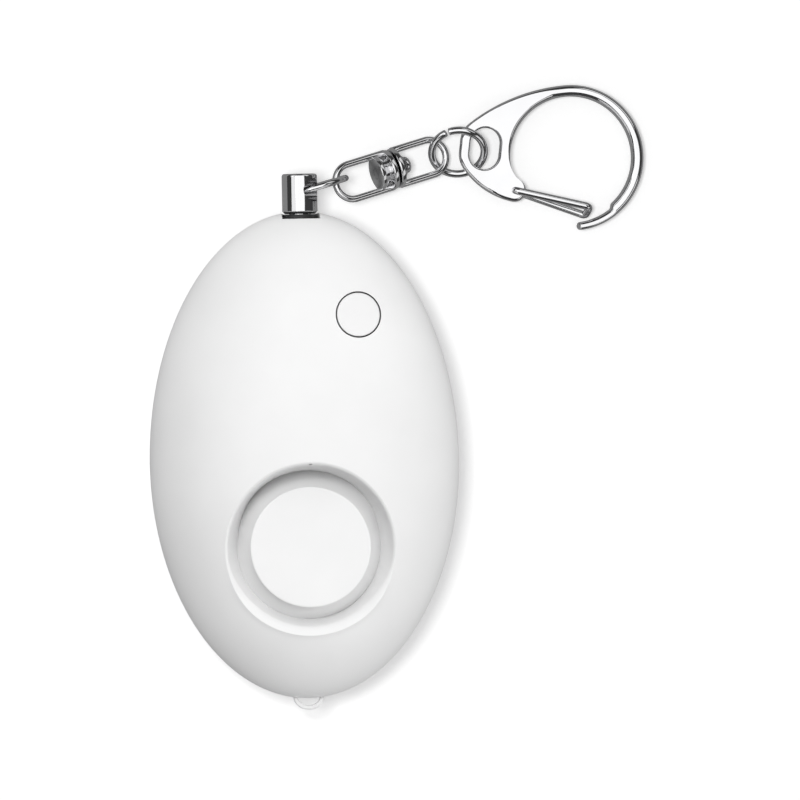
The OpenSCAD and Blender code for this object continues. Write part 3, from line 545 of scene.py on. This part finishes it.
def loop_notch(low, high):
    """The gap at the parting line that the strap loop passes through."""
    reach = LOOP_W / 2 + LOOP_GAP
    return block((-reach, -CLEAR, low), (reach, NOTCH_Y, high))


def true_normals(piece, normal_at):
    """Gives the points of a known surface its own normals, so that cuts leave no dents in the shading."""
    mesh = piece.data
    mesh.update()
    normals = [Vector(n.vector) for n in mesh.corner_normals]
    for poly in mesh.polygons:
        for i in poly.loop_indices:
            n = normal_at(*mesh.vertices[mesh.loops[i].vertex_index].co)
            if n and n.dot(poly.normal) > 0.9:
                normals[i] = n
    mesh.normals_split_custom_set(normals)


def egg_normal(x, y, z):
    """Normal of the case's surface, or nothing away from it."""
    near = 4e-4
    c, b = FRONT_C if z >= PARTING else REAR_C, half_length(y)
    level = (x / HALF_W) ** 2 + (y / b) ** 2 + ((z - PARTING) / c) ** 2
    if abs(level - 1) >= near:
        return None
    return Vector((x / HALF_W ** 2, y / b ** 2, (z - PARTING) / c ** 2)).normalized()


def button_ring(r, drop, level=None):
    """A ring about the button's axis, at a level or some way below the case's surface."""
    count, ring = 128, []
    for j in range(count):
        a = 2 * math.pi * j / count
        x, y = BUTTON_X + r * math.cos(a), BUTTON_Y + r * math.sin(a)
        ring.append((x, y, egg_z(x, y) - drop if level is None else level))
    return ring


def button():
    """A flange inside the case and a stem whose top follows the case's surface."""
    guide = BUTTON_FLANGE_Z + BUTTON_FLANGE_T
    rows = [[(BUTTON_X, BUTTON_Y, BUTTON_FLANGE_Z)]]
    for r, level in ((BUTTON_FLANGE_R, BUTTON_FLANGE_Z), (BUTTON_FLANGE_R, guide), (BUTTON_R, guide)):
        rows.append(button_ring(r, 0.0, level))
    radii = [(BUTTON_R, drop) for drop in (1.0, 0.5, BUTTON_ROUND)]
    for a in np.radians((20, 40, 60, 75, 90)):
        radii.append((BUTTON_R - BUTTON_ROUND * (1 - math.cos(a)), BUTTON_ROUND * (1 - math.sin(a))))
    radii += [(BUTTON_R * t, 0.0) for t in (0.9, 0.8, 0.65, 0.5, 0.35, 0.2, 0.1)]
    rows += [button_ring(r, drop) for r, drop in radii]
    rows.append([(BUTTON_X, BUTTON_Y, egg_z(BUTTON_X, BUTTON_Y))])
    piece = new_object("push_button", grid(rows))
    smooth(piece, 40)
    true_normals(piece, egg_normal)
    return piece


def siren_cap():
    """The disc over the sounder, with a stem below and a flange that rests on the crest."""
    under, edge_r, seat = CAP_UNDER_Z - CAP_STEM, CAP_BORE_R - 0.05, CAP_SEAT_Z + 0.02
    profile = rounded_profile(
        [(0, under), (CAP_STEM_R, under), (CAP_STEM_R, CAP_UNDER_Z), (edge_r, CAP_UNDER_Z),
         (edge_r, seat), (CAP_FLANGE_R, seat), (CAP_FLANGE_R, CAP_Z), (0, CAP_Z)],
        [0, 0.1, 0, 0.1, 0, 0.05, 0.5, 0], 10)
    piece = new_object("siren_disc", moved(lathe(profile, 192), Matrix.Translation((0, SIREN_Y, 0))))
    smooth(piece, 35)
    return piece


# Rear shell and strap loop


def rear_ring(inset, z, count):
    """Outline of the rear half at one height."""
    c = REAR_C - inset
    share = math.sqrt(max(1 - ((PARTING - z) / c) ** 2, 0.0))
    ring = []
    for j in range(count):
        a = 2 * math.pi * j / count
        y = (half_length(math.sin(a)) - inset) * share * math.sin(a)
        ring.append(((HALF_W - inset) * share * math.cos(a), y, z))
    return ring


def scaled_ring(ring, k, z):
    return [(x * k, y * k, z) for x, y, _ in ring]


def rear_shell():
    """The egg's back half, flat underneath, with two screw posts and their wells."""
    count, foot = 320, 0.35
    outer = [scaled_ring(rear_ring(0, PARTING, count), 1 - 0.6 * EDGE / HALF_W, PARTING - SEAM)]
    low = math.asin((PARTING - foot) / REAR_C)
    for a in np.linspace(math.asin(EDGE / REAR_C), low, 44):
        outer.append(rear_ring(0, PARTING - REAR_C * math.sin(a), count))
    rim = rear_ring(0, 0, count)
    side = rear_ring(0, foot, count)
    for t in np.linspace(0, 1, 7)[1:]:
        row = []
        for p, q in zip(side, rim):
            p, q = Vector(p), Vector(q)
            end = q * (1 - foot / REAR_C)
            row.append(tuple(bezier(p, q, Vector((end.x, end.y, 0)), t)))
        outer.append(row)
    outer += [scaled_ring(outer[-1], k, 0.0) for k in (0.9, 0.7, 0.5, 0.3)] + [[(0, 0, 0)]]
    inner_floor = rear_ring(WALL, WALL, count)
    inner = [[(0, 0, WALL)]] + [scaled_ring(inner_floor, k, WALL) for k in (0.3, 0.6, 1.0)]
    for a in np.linspace(math.asin((PARTING - WALL) / (REAR_C - WALL)), 0.0, 24)[1:]:
        inner.append(rear_ring(WALL, PARTING - (REAR_C - WALL) * math.sin(a) - SEAM, count))
    piece = new_object("rear_case", grid(outer[::-1] + inner[::-1]))
    bosses = [cylinder((0, y, 0), (0, 0, 1), boss, -1, top, 96) for y, _, boss, top in SCREWS]
    posts = new_object("posts", together(*bosses))
    cut(posts, [grid(outer[::-1] + [scaled_ring(outer[0], 1.0, PARTING + 3)])], "INTERSECT")
    combine(piece, posts, "UNION")
    wells = []
    for y, well, _, _ in SCREWS:
        wells.append(cylinder((0, y, 0), (0, 0, 1), SCREW_HEAD_R, BELOW, well, 96))
        wells.append(cylinder((0, y, 0), (0, 0, 1), SCREW_HOLE_R, BELOW, SCREW_HOLE_TOP, 64))
    cut(piece, wells + pin_cutters() + [loop_notch(PARTING - LOOP_T / 2 - LOOP_GAP, PARTING + FRONT_C)])
    smooth(piece, 32)
    true_normals(piece, egg_normal)
    return piece


def slab(name, outlines, thickness, rounding, steps=3):
    """A flat plate with rounded edges from closed outlines in plan; the inner ones are holes."""
    curve = bpy.data.curves.new(name, "CURVE")
    curve.dimensions = "2D"
    curve.fill_mode = "BOTH"
    curve.extrude = thickness / 2 - rounding
    curve.bevel_depth = rounding
    curve.bevel_resolution = steps
    curve.offset = -rounding
    for outline in outlines:
        spline = curve.splines.new("POLY")
        spline.points.add(len(outline) - 1)
        for point, (x, y) in zip(spline.points, outline):
            point.co = (x, y, 0, 1)
        spline.use_cyclic_u = True
    made = bpy.data.objects.new(name + "_curve", curve)
    bpy.context.scene.collection.objects.link(made)
    graph = bpy.context.evaluated_depsgraph_get()
    mesh = bpy.data.meshes.new_from_object(made.evaluated_get(graph))
    bpy.data.objects.remove(made)
    bpy.data.curves.remove(curve)
    fixed = bmesh.new()
    fixed.from_mesh(mesh)
    bmesh.ops.remove_doubles(fixed, verts=fixed.verts, dist=1e-4)
    bmesh.ops.recalc_face_normals(fixed, faces=fixed.faces)
    fixed.to_mesh(mesh)
    fixed.free()
    piece = bpy.data.objects.new(name, mesh)
    bpy.context.scene.collection.objects.link(piece)
    return piece


def strap_loop():
    """A thin rounded bail on a bar that the two shells hold."""
    half, bar, bar_top, hole_in = LOOP_W / 2, LOOP_BAR_W / 2, LOOP_BAR_Y + LOOP_BAR_T, 0.3
    mid, turns = LOOP_END + LOOP_REACH, np.radians(np.linspace(0, -180, 33))
    reach = mid - LOOP_END
    outer = [(half * math.cos(t), mid + reach * math.sin(t)) for t in turns]
    outer += [(-half, LOOP_BAR_Y), (-bar, LOOP_BAR_Y), (-bar, bar_top)]
    outer += [(bar, bar_top), (bar, LOOP_BAR_Y), (half, LOOP_BAR_Y)]
    hole = [((half - LOOP_RIM) * math.cos(t), mid + (reach - LOOP_RIM) * math.sin(t)) for t in turns]
    hole += [((half - LOOP_RIM) * math.cos(t), mid + hole_in - hole_in * math.sin(t)) for t in turns[::-1]]
    piece = slab("strap_eyelet", [outer, hole], LOOP_T, 0.14, 4)
    piece.data.transform(Matrix.Translation((0, 0, PARTING)))
    smooth(piece, 40)
    return piece


# Pin, chain and hook


def pull_pin():
    """The pin with a waist near its tip and a head with a cross hole."""
    steps = [(0, TIP_Y), (TIP_FLAT_R, TIP_Y), (SHAFT_R, TIP_Y + 1.0), (SHAFT_R, TIP_Y + 2.0)]
    steps += [(WAIST_R, TIP_Y + 2.2), (WAIST_R, TIP_Y + 3.0), (SHAFT_R, TIP_Y + 3.2), (SHAFT_R, HEAD_Y)]
    steps += [(HEAD_R - HEAD_BEVEL, HEAD_Y), (HEAD_R, HEAD_Y + HEAD_BEVEL)]
    steps += [(HEAD_R, HEAD_END), (0, HEAD_END)]
    profile = rounded_profile(steps, [0, 0.2, 0.3, 0.1, 0.1, 0.1, 0.1, 0, 0.08, 0.08, 0.35, 0], 7)
    piece = new_object("pin", moved(lathe(profile, 160), PIN))
    lean = math.radians(HOLE_TURN)
    axis = (math.sin(lean), 0, math.cos(lean))
    cut(piece, [cylinder(HOLE_C, axis, HOLE_R, -6, 6, 96)])
    smooth(piece, 30)
    return piece


def pin_dark_ring():
    """A black ring in the pin's pocket, which makes the band between the case and the pin's head dark."""
    low, high, bore = SEAT_FLOOR + 0.02, HEAD_Y - 0.05, SHAFT_R + 0.13
    corners = [(bore, low), (HEAD_R, low), (HEAD_R, high), (bore, high)]
    profile = rounded_profile(corners, [0, 0.05, 0.15, 0], 6)
    piece = new_object("collar", moved(lathe(profile, 128, True), PIN))
    smooth(piece, 40)
    return piece


def wire_ring(name, matrix, r, wire, gap, gap_at):
    turns = np.radians(np.linspace(gap_at + gap / 2, gap_at + 360 - gap / 2, 161))
    path = [(r * math.cos(a), r * math.sin(a), 0) for a in turns]
    piece = new_object(name, moved(sweep(path, wire / 2, 32), matrix))
    smooth(piece, 50)
    return piece


def bow_path(leg_end):
    """The wire of a bow: one leg, a half turn and the other leg."""
    shares = (1.0, 0.6, 0.25)
    leg = [BOW_R + (leg_end - BOW_R) * t for t in shares]
    path = [(x, BOW_R, 0) for x in leg]
    path += [(x, y, 0) for x, y in arc(BOW_R, 0, BOW_R, 90, 270, 49)]
    return path + [(x, -BOW_R, 0) for x in reversed(leg)]


def along_chain(made):
    """Lays what was turned about Z along the chain's axis."""
    verts, faces = made
    return [(z, x, y) for x, y, z in verts], faces


def turned(profile, radii, wrap):
    """A piece turned about the chain's axis from a profile of (radius, place along the chain)."""
    return along_chain(lathe(rounded_profile(profile, radii, 8), 128, wrap))


def near_drum():
    """The bell-shaped head inside the first bow and the flange that its legs end in."""
    face, end = DRUM_A
    bore, flange = RIVET_R + 0.03, end - DRUM_FLANGE
    return turned(
        [(bore, face), (BELL_R, face), (BELL_R, face + 0.45), (BELL_WAIST_R, flange - 0.15),
         (BELL_WAIST_R, flange), (DRUM_R, flange), (DRUM_R, end), (bore, end)],
        [0, 0.12, 0.3, 0.2, 0.08, 0.2, 0.2, 0], True)


def far_drum():
    """The second bow's flange and the collar in front of the rivet's head."""
    face, end = DRUM_B
    bore, flange = RIVET_R + 0.15, face + DRUM_FLANGE
    return turned(
        [(bore, face), (DRUM_R, face), (DRUM_R, flange),
         (BELL_WAIST_R, flange), (COLLAR_R, end), (bore, end)],
        [0, 0.2, 0.2, 0.1, 0.2, 0], True)


def swivel(name, path, drum_made):
    piece = new_object(name, moved(together(sweep(path, BOW_WIRE / 2, 32, 0.1), drum_made), CHAIN))
    smooth(piece, 50)
    return piece


def rivet():
    """A shank through both drums, with a domed head."""
    a, b = RIVET_HEAD
    rim, soft = 0.15, 0.05
    turns = np.radians(np.linspace(0, 90, 14))
    profile = [(0, DRUM_A[0]), (RIVET_R, DRUM_A[0]), (RIVET_R, a)]
    profile += [(RIVET_HEAD_R - soft, a), (RIVET_HEAD_R, a + soft)]
    profile += [(RIVET_HEAD_R * math.cos(t), a + rim + (b - a - rim) * math.sin(t)) for t in turns]
    piece = new_object("rivet", moved(along_chain(lathe(profile, 96)), CHAIN))
    smooth(piece, 40)
    return piece


def along(points, count):
    """Points at equal steps along a line of points."""
    pts = np.array(points, float)
    at = np.concatenate([[0], np.cumsum(np.linalg.norm(np.diff(pts, axis=0), axis=1))])
    want = np.linspace(0, at[-1], count)
    return np.stack([np.interp(want, at, pts[:, k]) for k in (0, 1)], 1)


def hook_half(x, y):
    """Half of the hook's thickness in plan; it thins out evenly towards the eye and the pivot."""
    from_eye = (x + EYE_BACK) / (EYE_BACK - HOOK_INNER + EYE_TAPER)
    from_pivot = (math.dist((x, y), PIVOT_C) - PIVOT_CORNER) / PIVOT_TAPER
    return EYE_T / 2 + (HOOK_T - EYE_T) / 2 * min(max(min(from_eye, from_pivot), 0.0), 1.0)


def bulge(c1, r1, c2, r2, reach, count):
    """The outer arc of a large circle that touches two smaller ones inside it."""
    (x1, y1), (x2, y2) = c1, c2
    away = math.dist(c1, c2)
    d1, d2 = reach - r1, reach - r2
    along_it = (away ** 2 + d1 ** 2 - d2 ** 2) / (2 * away)
    off = math.sqrt(d1 ** 2 - along_it ** 2)
    ux, uy = (x2 - x1) / away, (y2 - y1) / away
    cx, cy = x1 + ux * along_it - uy * off, y1 + uy * along_it + ux * off
    a1 = math.degrees(math.atan2(y1 - cy, x1 - cx)) % 360
    a2 = math.degrees(math.atan2(y2 - cy, x2 - cx)) % 360
    return arc(cx, cy, reach, a1, a2, count), a1, a2


def hook_edges():
    """Inner and outer edge of the hook from its nose round the ring and the eye to the gate's pivot."""
    shift, rim = (EYE_H - EYE_W) / 2, EYE_W / 2 + EYE_RIM
    top_c, low_c = (-EYE_BACK, shift), (-EYE_BACK, -shift)
    upper, top_at, eye_from = bulge((0, 0), HOOK_OUTER, top_c, rim, UPPER_BULGE, 60)
    lower, eye_to, low_at = bulge(low_c, rim, PIVOT_C, PIVOT_CORNER, LOWER_BULGE, 40)
    pivot_r = math.hypot(*PIVOT_C)
    cosine = (HOOK_INNER ** 2 + pivot_r ** 2 - PIVOT_CORNER ** 2) / (2 * HOOK_INNER * pivot_r)
    meet_at = PIVOT_AT - math.degrees(math.acos(cosine))
    x, y = polar(HOOK_INNER, meet_at)
    last = math.degrees(math.atan2(y - PIVOT_C[1], x - PIVOT_C[0])) % 360 + 360
    inner, outer = [], []
    for at in np.radians(np.linspace(NOSE_AT, 360 + top_at, 170)):
        r = HOOK_INNER + (RELIEF_R - HOOK_INNER) * (1 - blend(math.degrees(at), RELIEF_AT, RELIEF_AT + 5))
        inner.append((r * math.cos(at), r * math.sin(at)))
        outer.append((HOOK_OUTER * math.cos(at), HOOK_OUTER * math.sin(at)))
    round_eye = upper + arc(*top_c, rim, eye_from, 180, 40) + arc(*low_c, rim, 180, eye_to, 40)
    round_eye += lower + arc(*PIVOT_C, PIVOT_CORNER, low_at, last, 80)
    steps = 240
    inner += list(map(tuple, along(arc(0, 0, HOOK_INNER, top_at, meet_at, 120), steps)[1:-1]))
    outer += list(map(tuple, along([outer[-1]] + round_eye, steps)[1:-1]))
    return inner, outer


def hook_body():
    """One casting with rounded edges between the two edges."""
    inner, outer = hook_edges()
    nose_r, corner, steps = 0.45, 0.56, 9
    wide, widens, narrows = 0.35, (40, 110), (150, 200)
    turns = np.radians(np.linspace(0, 90, steps))
    rows = []
    travelled = 0.0
    for i, (a, b) in enumerate(zip(inner, outer)):
        a, b = np.array(a), np.array(b)
        if i:
            travelled += float(np.linalg.norm((a + b) / 2 - before))
        before = (a + b) / 2
        close = math.sqrt(max(1 - max(1 - (travelled + 0.02) / nose_r, 0.0) ** 2, 0.0))
        a, b = before + (a - before) * close, before + (b - before) * close
        width = float(np.linalg.norm(b - a))
        at = math.degrees(math.atan2(a[1], a[0])) % 360
        c = min(corner, 0.45 * width)
        inside = min(corner + wide * blend(at, *widens) * (1 - blend(at, *narrows)), 0.5 * width)
        offsets = [(inside * (1 - math.cos(t)), math.sin(t), inside) for t in turns]
        offsets += [(inside + (width - inside - c) * t, 1.0, c) for t in (0.2, 0.4, 0.6, 0.8)]
        offsets += [(width - c * (1 - math.cos(t)), math.sin(t), c) for t in reversed(turns)]
        top = []
        for d, lift, round_r in offsets:
            x, y = a + (b - a) * (d / width)
            half = hook_half(x, y) * close
            fall = min(round_r, 0.8 * half)
            top.append((x, y, half - fall + fall * lift))
        rows.append(top + [(x, y, -z) for x, y, z in reversed(top)])
    return grid(rows)


def eye_cutter():
    """The slot of the eye, opened out at both faces so that its edges are rounded."""
    shift, r, flare = (EYE_H - EYE_W) / 2, EYE_W / 2, 0.32
    turns = np.radians(np.linspace(0, 65, 8))
    levels = [(flare * math.sin(t) - flare, flare * (1 - math.cos(t))) for t in turns]
    rows = []
    for drop, grow in [(1.0, flare)] + list(reversed(levels)):
        ring = arc(-EYE_BACK, shift, r + grow, 0, 180, 60) + arc(-EYE_BACK, -shift, r + grow, 180, 360, 60)
        rows.append([(x, y, hook_half(x, y) + drop) for x, y in ring])
    return grid(rows + [[(x, y, -z) for x, y, z in row] for row in reversed(rows)])


def plate_normal(x, y, z):
    """Normal of the hook's two broad faces."""
    step = 0.3
    if abs(abs(z) - hook_half(x, y)) > 0.01:
        return None
    slope_x = (hook_half(x + step, y) - hook_half(x - step, y)) / (2 * step)
    slope_y = (hook_half(x, y + step) - hook_half(x, y - step)) / (2 * step)
    return Vector((-slope_x, -slope_y, math.copysign(1, z))).normalized()


def snap_hook():
    piece = new_object("hook", hook_body())
    cut(piece, [eye_cutter()])
    smooth(piece, 50)
    true_normals(piece, plate_normal)
    piece.data.transform(HOOK)
    return piece


def hook_gate():
    """One wire from the pivot along both legs of the gate and back."""
    top, low = (*polar(*GATE_TOP), GATE_END_Z), (*polar(*GATE_LOW), -GATE_END_Z)
    px, py = PIVOT_C
    corners = [(px, py, GATE_START), (px, py, LEG_Z), top, low, (px, py, -LEG_Z), (px, py, GATE_STOP)]
    path = fillet_path(corners, GATE_BEND)
    piece = new_object("gate", moved(sweep(path, GATE_WIRE / 2, 28, 0.15), HOOK))
    smooth(piece, 50)
    return piece


PIN = Matrix.Translation((0, 0, PARTING)) @ Matrix.Rotation(math.radians(-90), 4, "X")
CHAIN = frame_matrix(SWIVEL_START, CHAIN_PITCH, CHAIN_YAW)
HOOK = frame_matrix(HOOK_C, HOOK_TILT, HOOK_YAW)

finish_piece(front_shell(), "case", "white_plastic", WHITE, "front_shell")
finish_piece(rear_shell(), "case", "white_plastic", WHITE, "rear_shell")
finish_piece(siren_cap(), "case", "white_plastic", WHITE, "siren_cap")
finish_piece(strap_loop(), "case", "white_plastic", WHITE, "strap_loop")
finish_piece(button(), "button", "white_plastic", BUTTON_WHITE, "button")
finish_piece(pin_dark_ring(), "case", "black_plastic", LOOKS["black_plastic"])
finish_piece(pull_pin(), "pin", "chrome", CHROME, "pull_pin")
ring_turn = frame_matrix(PIN_RING_C, CHAIN_PITCH, CHAIN_YAW) @ Matrix.Rotation(math.radians(90), 4, "X")
pin_link = wire_ring("pin_link", ring_turn, PIN_RING_R, PIN_RING_WIRE, *PIN_RING_GAP)
finish_piece(pin_link, "pin_ring", "chrome", CHROME, "pin_ring")
first_bow = swivel("first_bow", bow_path(DRUM_A[1] - DRUM_FLANGE / 2), near_drum())
finish_piece(first_bow, "bow_a", "chrome", CHROME, "swivel_bow_a")
finish_piece(rivet(), "bow_a", "chrome", CHROME, "swivel_rivet")
far_path = [(SWIVEL_L - x, y, z) for x, y, z in bow_path(SWIVEL_L - DRUM_B[0] - DRUM_FLANGE / 2)]
finish_piece(swivel("second_bow", far_path, far_drum()), "bow_b", "chrome", CHROME, "swivel_bow_b")
clip_turn = Matrix.Translation(Vector(CLIP_RING_C)) @ Matrix.Rotation(math.radians(CLIP_RING_TILT), 4, "X")
clip_link = wire_ring("clip_link", clip_turn, CLIP_RING_R, CLIP_RING_WIRE, *CLIP_RING_GAP)
finish_piece(clip_link, "clip_ring", "chrome", CHROME, "clip_ring")
finish_piece(snap_hook(), "hook", "chrome", CHROME, "snap_hook")
finish_piece(hook_gate(), "gate", "chrome", CHROME, "hook_gate")

# Solids that stay as they are, with their own materials
slots = {row["node"]: row["material_slot"] for row in frame["record"]["subparts"]}
for name, node in frame["nodes"].items():
    if not node.hide_render:
        node.data.materials.clear()
        node.data.materials.append(LOOKS[slots[name]])


# Floor, light and camera


def floor_material():
    """A pale table; the camera sees it lit up to white, and chrome sees it as grey."""
    n = Nodes("studio_floor")
    path = n.add("ShaderNodeLightPath")
    n.set("Base Color", (0.86, 0.86, 0.86, 1))
    n.set("Roughness", 0.9)
    n.set("Specular IOR Level", 0.0)
    glow = n.add("ShaderNodeEmission", Strength=0.35)
    seen = n.add("ShaderNodeAddShader")
    n.link(n.shader.outputs["BSDF"], seen.inputs[0])
    n.link(glow.outputs["Emission"], seen.inputs[1])
    result = None
    for kind, colour in ((None, 0.85), ("Is Glossy Ray", 0.32)):
        card = n.add("ShaderNodeBsdfDiffuse")
        card.inputs["Color"].default_value = (colour, colour, colour, 1)
        shade = card.outputs["BSDF"]
        result = n.choose(path.outputs[kind], result, shade) if kind else shade
    result = n.choose(path.outputs["Is Camera Ray"], result, seen.outputs["Shader"])
    n.link(result, n.tree.nodes["Material Output"].inputs["Surface"])
    return n.material


def floor():
    size = 0.6
    mesh = bpy.data.meshes.new("floor")
    corners = [(-size, -size, 0), (size, -size, 0), (size, size, 0), (-size, size, 0)]
    mesh.from_pydata(corners, [], [(0, 1, 2, 3)])
    made = bpy.data.objects.new("floor", mesh)
    mesh.materials.append(floor_material())
    bpy.context.scene.collection.objects.link(made)
    return made


def world():
    """A soft glow all round that the camera sees as white and chrome as a dark room."""
    made = bpy.data.worlds.new("studio")
    bpy.context.scene.world = made
    made.use_nodes = True
    tree = made.node_tree
    path = tree.nodes.new("ShaderNodeLightPath")
    result = None
    for kind, level in ((None, 0.36), ("Is Glossy Ray", 0.05), ("Is Camera Ray", 1.0)):
        back = tree.nodes.new("ShaderNodeBackground")
        back.inputs["Color"].default_value = (level, level, level, 1)
        if kind:
            mix = tree.nodes.new("ShaderNodeMixShader")
            tree.links.new(path.outputs[kind], mix.inputs["Fac"])
            tree.links.new(result, mix.inputs[1])
            tree.links.new(back.outputs["Background"], mix.inputs[2])
            result = mix.outputs["Shader"]
        else:
            result = back.outputs["Background"]
    tree.links.new(result, tree.nodes["World Output"].inputs["Surface"])


def receivers(name, obj, state):
    """A collection that limits a lamp to one object, or keeps it off that object."""
    made = bpy.data.collections.new(name)
    made.objects.link(obj)
    made.collection_objects[0].light_linking.link_state = state
    return made


def softbox(name, way, away, size, share, seen_by, lit):
    """A soft light; share is the light it throws on a flat white card, where 1 makes the card white."""
    way = Vector(way).normalized()
    middle = Vector((0.008, 0.006, 0.0))
    lamp = bpy.data.lights.new(name, "AREA")
    lamp.shape = "RECTANGLE"
    lamp.size, lamp.size_y = size
    lamp.energy = share * math.pi ** 2 * (away ** 2 + lamp.size * lamp.size_y / math.pi) / way.z
    made = bpy.data.objects.new(name, lamp)
    made.location = middle + way * away
    made.rotation_euler = way.to_track_quat("Z", "Y").to_euler()
    made.visible_glossy, made.visible_diffuse = "gloss" in seen_by, "matt" in seen_by
    made.light_linking.receiver_collection = lit
    bpy.context.scene.collection.objects.link(made)


def camera():
    """Looks straight down, leaning a little to the left, at the photograph's scale."""
    scale = 0.113 * MM
    middle = Vector((10.94, 6.68, 9.0)) * MM
    lean = math.radians(3.8)
    away, sensor, picture = 3.0, 36, 800
    back = Vector((-math.sin(lean), 0, math.cos(lean)))
    up = Vector((0.0185, 1, 0))
    up = (up - back * up.dot(back)).normalized()
    right = up.cross(back)
    lens = bpy.data.cameras.new("camera")
    lens.sensor_width = sensor
    lens.lens = sensor * away / (picture * scale)
    lens.clip_start, lens.clip_end = 0.01, 10
    made = bpy.data.objects.new("camera", lens)
    turn = Matrix((right, up, back)).transposed().to_4x4()
    made.matrix_world = Matrix.Translation(middle + back * away) @ turn
    bpy.context.scene.collection.objects.link(made)
    bpy.context.scene.camera = made


CARD_WAYS = ((-0.75, 0.65, 0.7), (0.7, 0.75, 0.7), (0.8, -0.6, 0.7), (-0.65, -0.75, 0.7))
table = floor()
world()
OBJECT = receivers("lit_object", table, "EXCLUDE")
TABLE = receivers("lit_table", table, "INCLUDE")
softbox("overhead", (0.0, 0.08, 1.0), 0.6, (0.62, 0.66), 0.32, "gloss", OBJECT)
softbox("side", (-0.75, 0.1, 1.0), 0.7, (0.35, 0.5), 0.08, "gloss", OBJECT)
for number, way in enumerate(CARD_WAYS):
    softbox("card_%d" % number, way, 0.8, (0.6, 0.3), 0.035, "gloss", OBJECT)
softbox("key", (-0.2, 0.3, 1.0), 0.7, (0.2, 0.2), 0.31, "matt", OBJECT)
softbox("sky", (-0.1, 0.75, 0.7), 0.9, (1.0, 1.0), 0.22, "matt", OBJECT)
softbox("fill", (0.7, -0.45, 0.6), 0.9, (1.0, 1.0), 0.2, "matt", OBJECT)
softbox("drop", (-0.17, 0.04, 1.0), 0.7, (0.12, 0.12), 0.45, "matt", TABLE)
camera()
bpy.context.scene.view_settings.view_transform = "Standard"
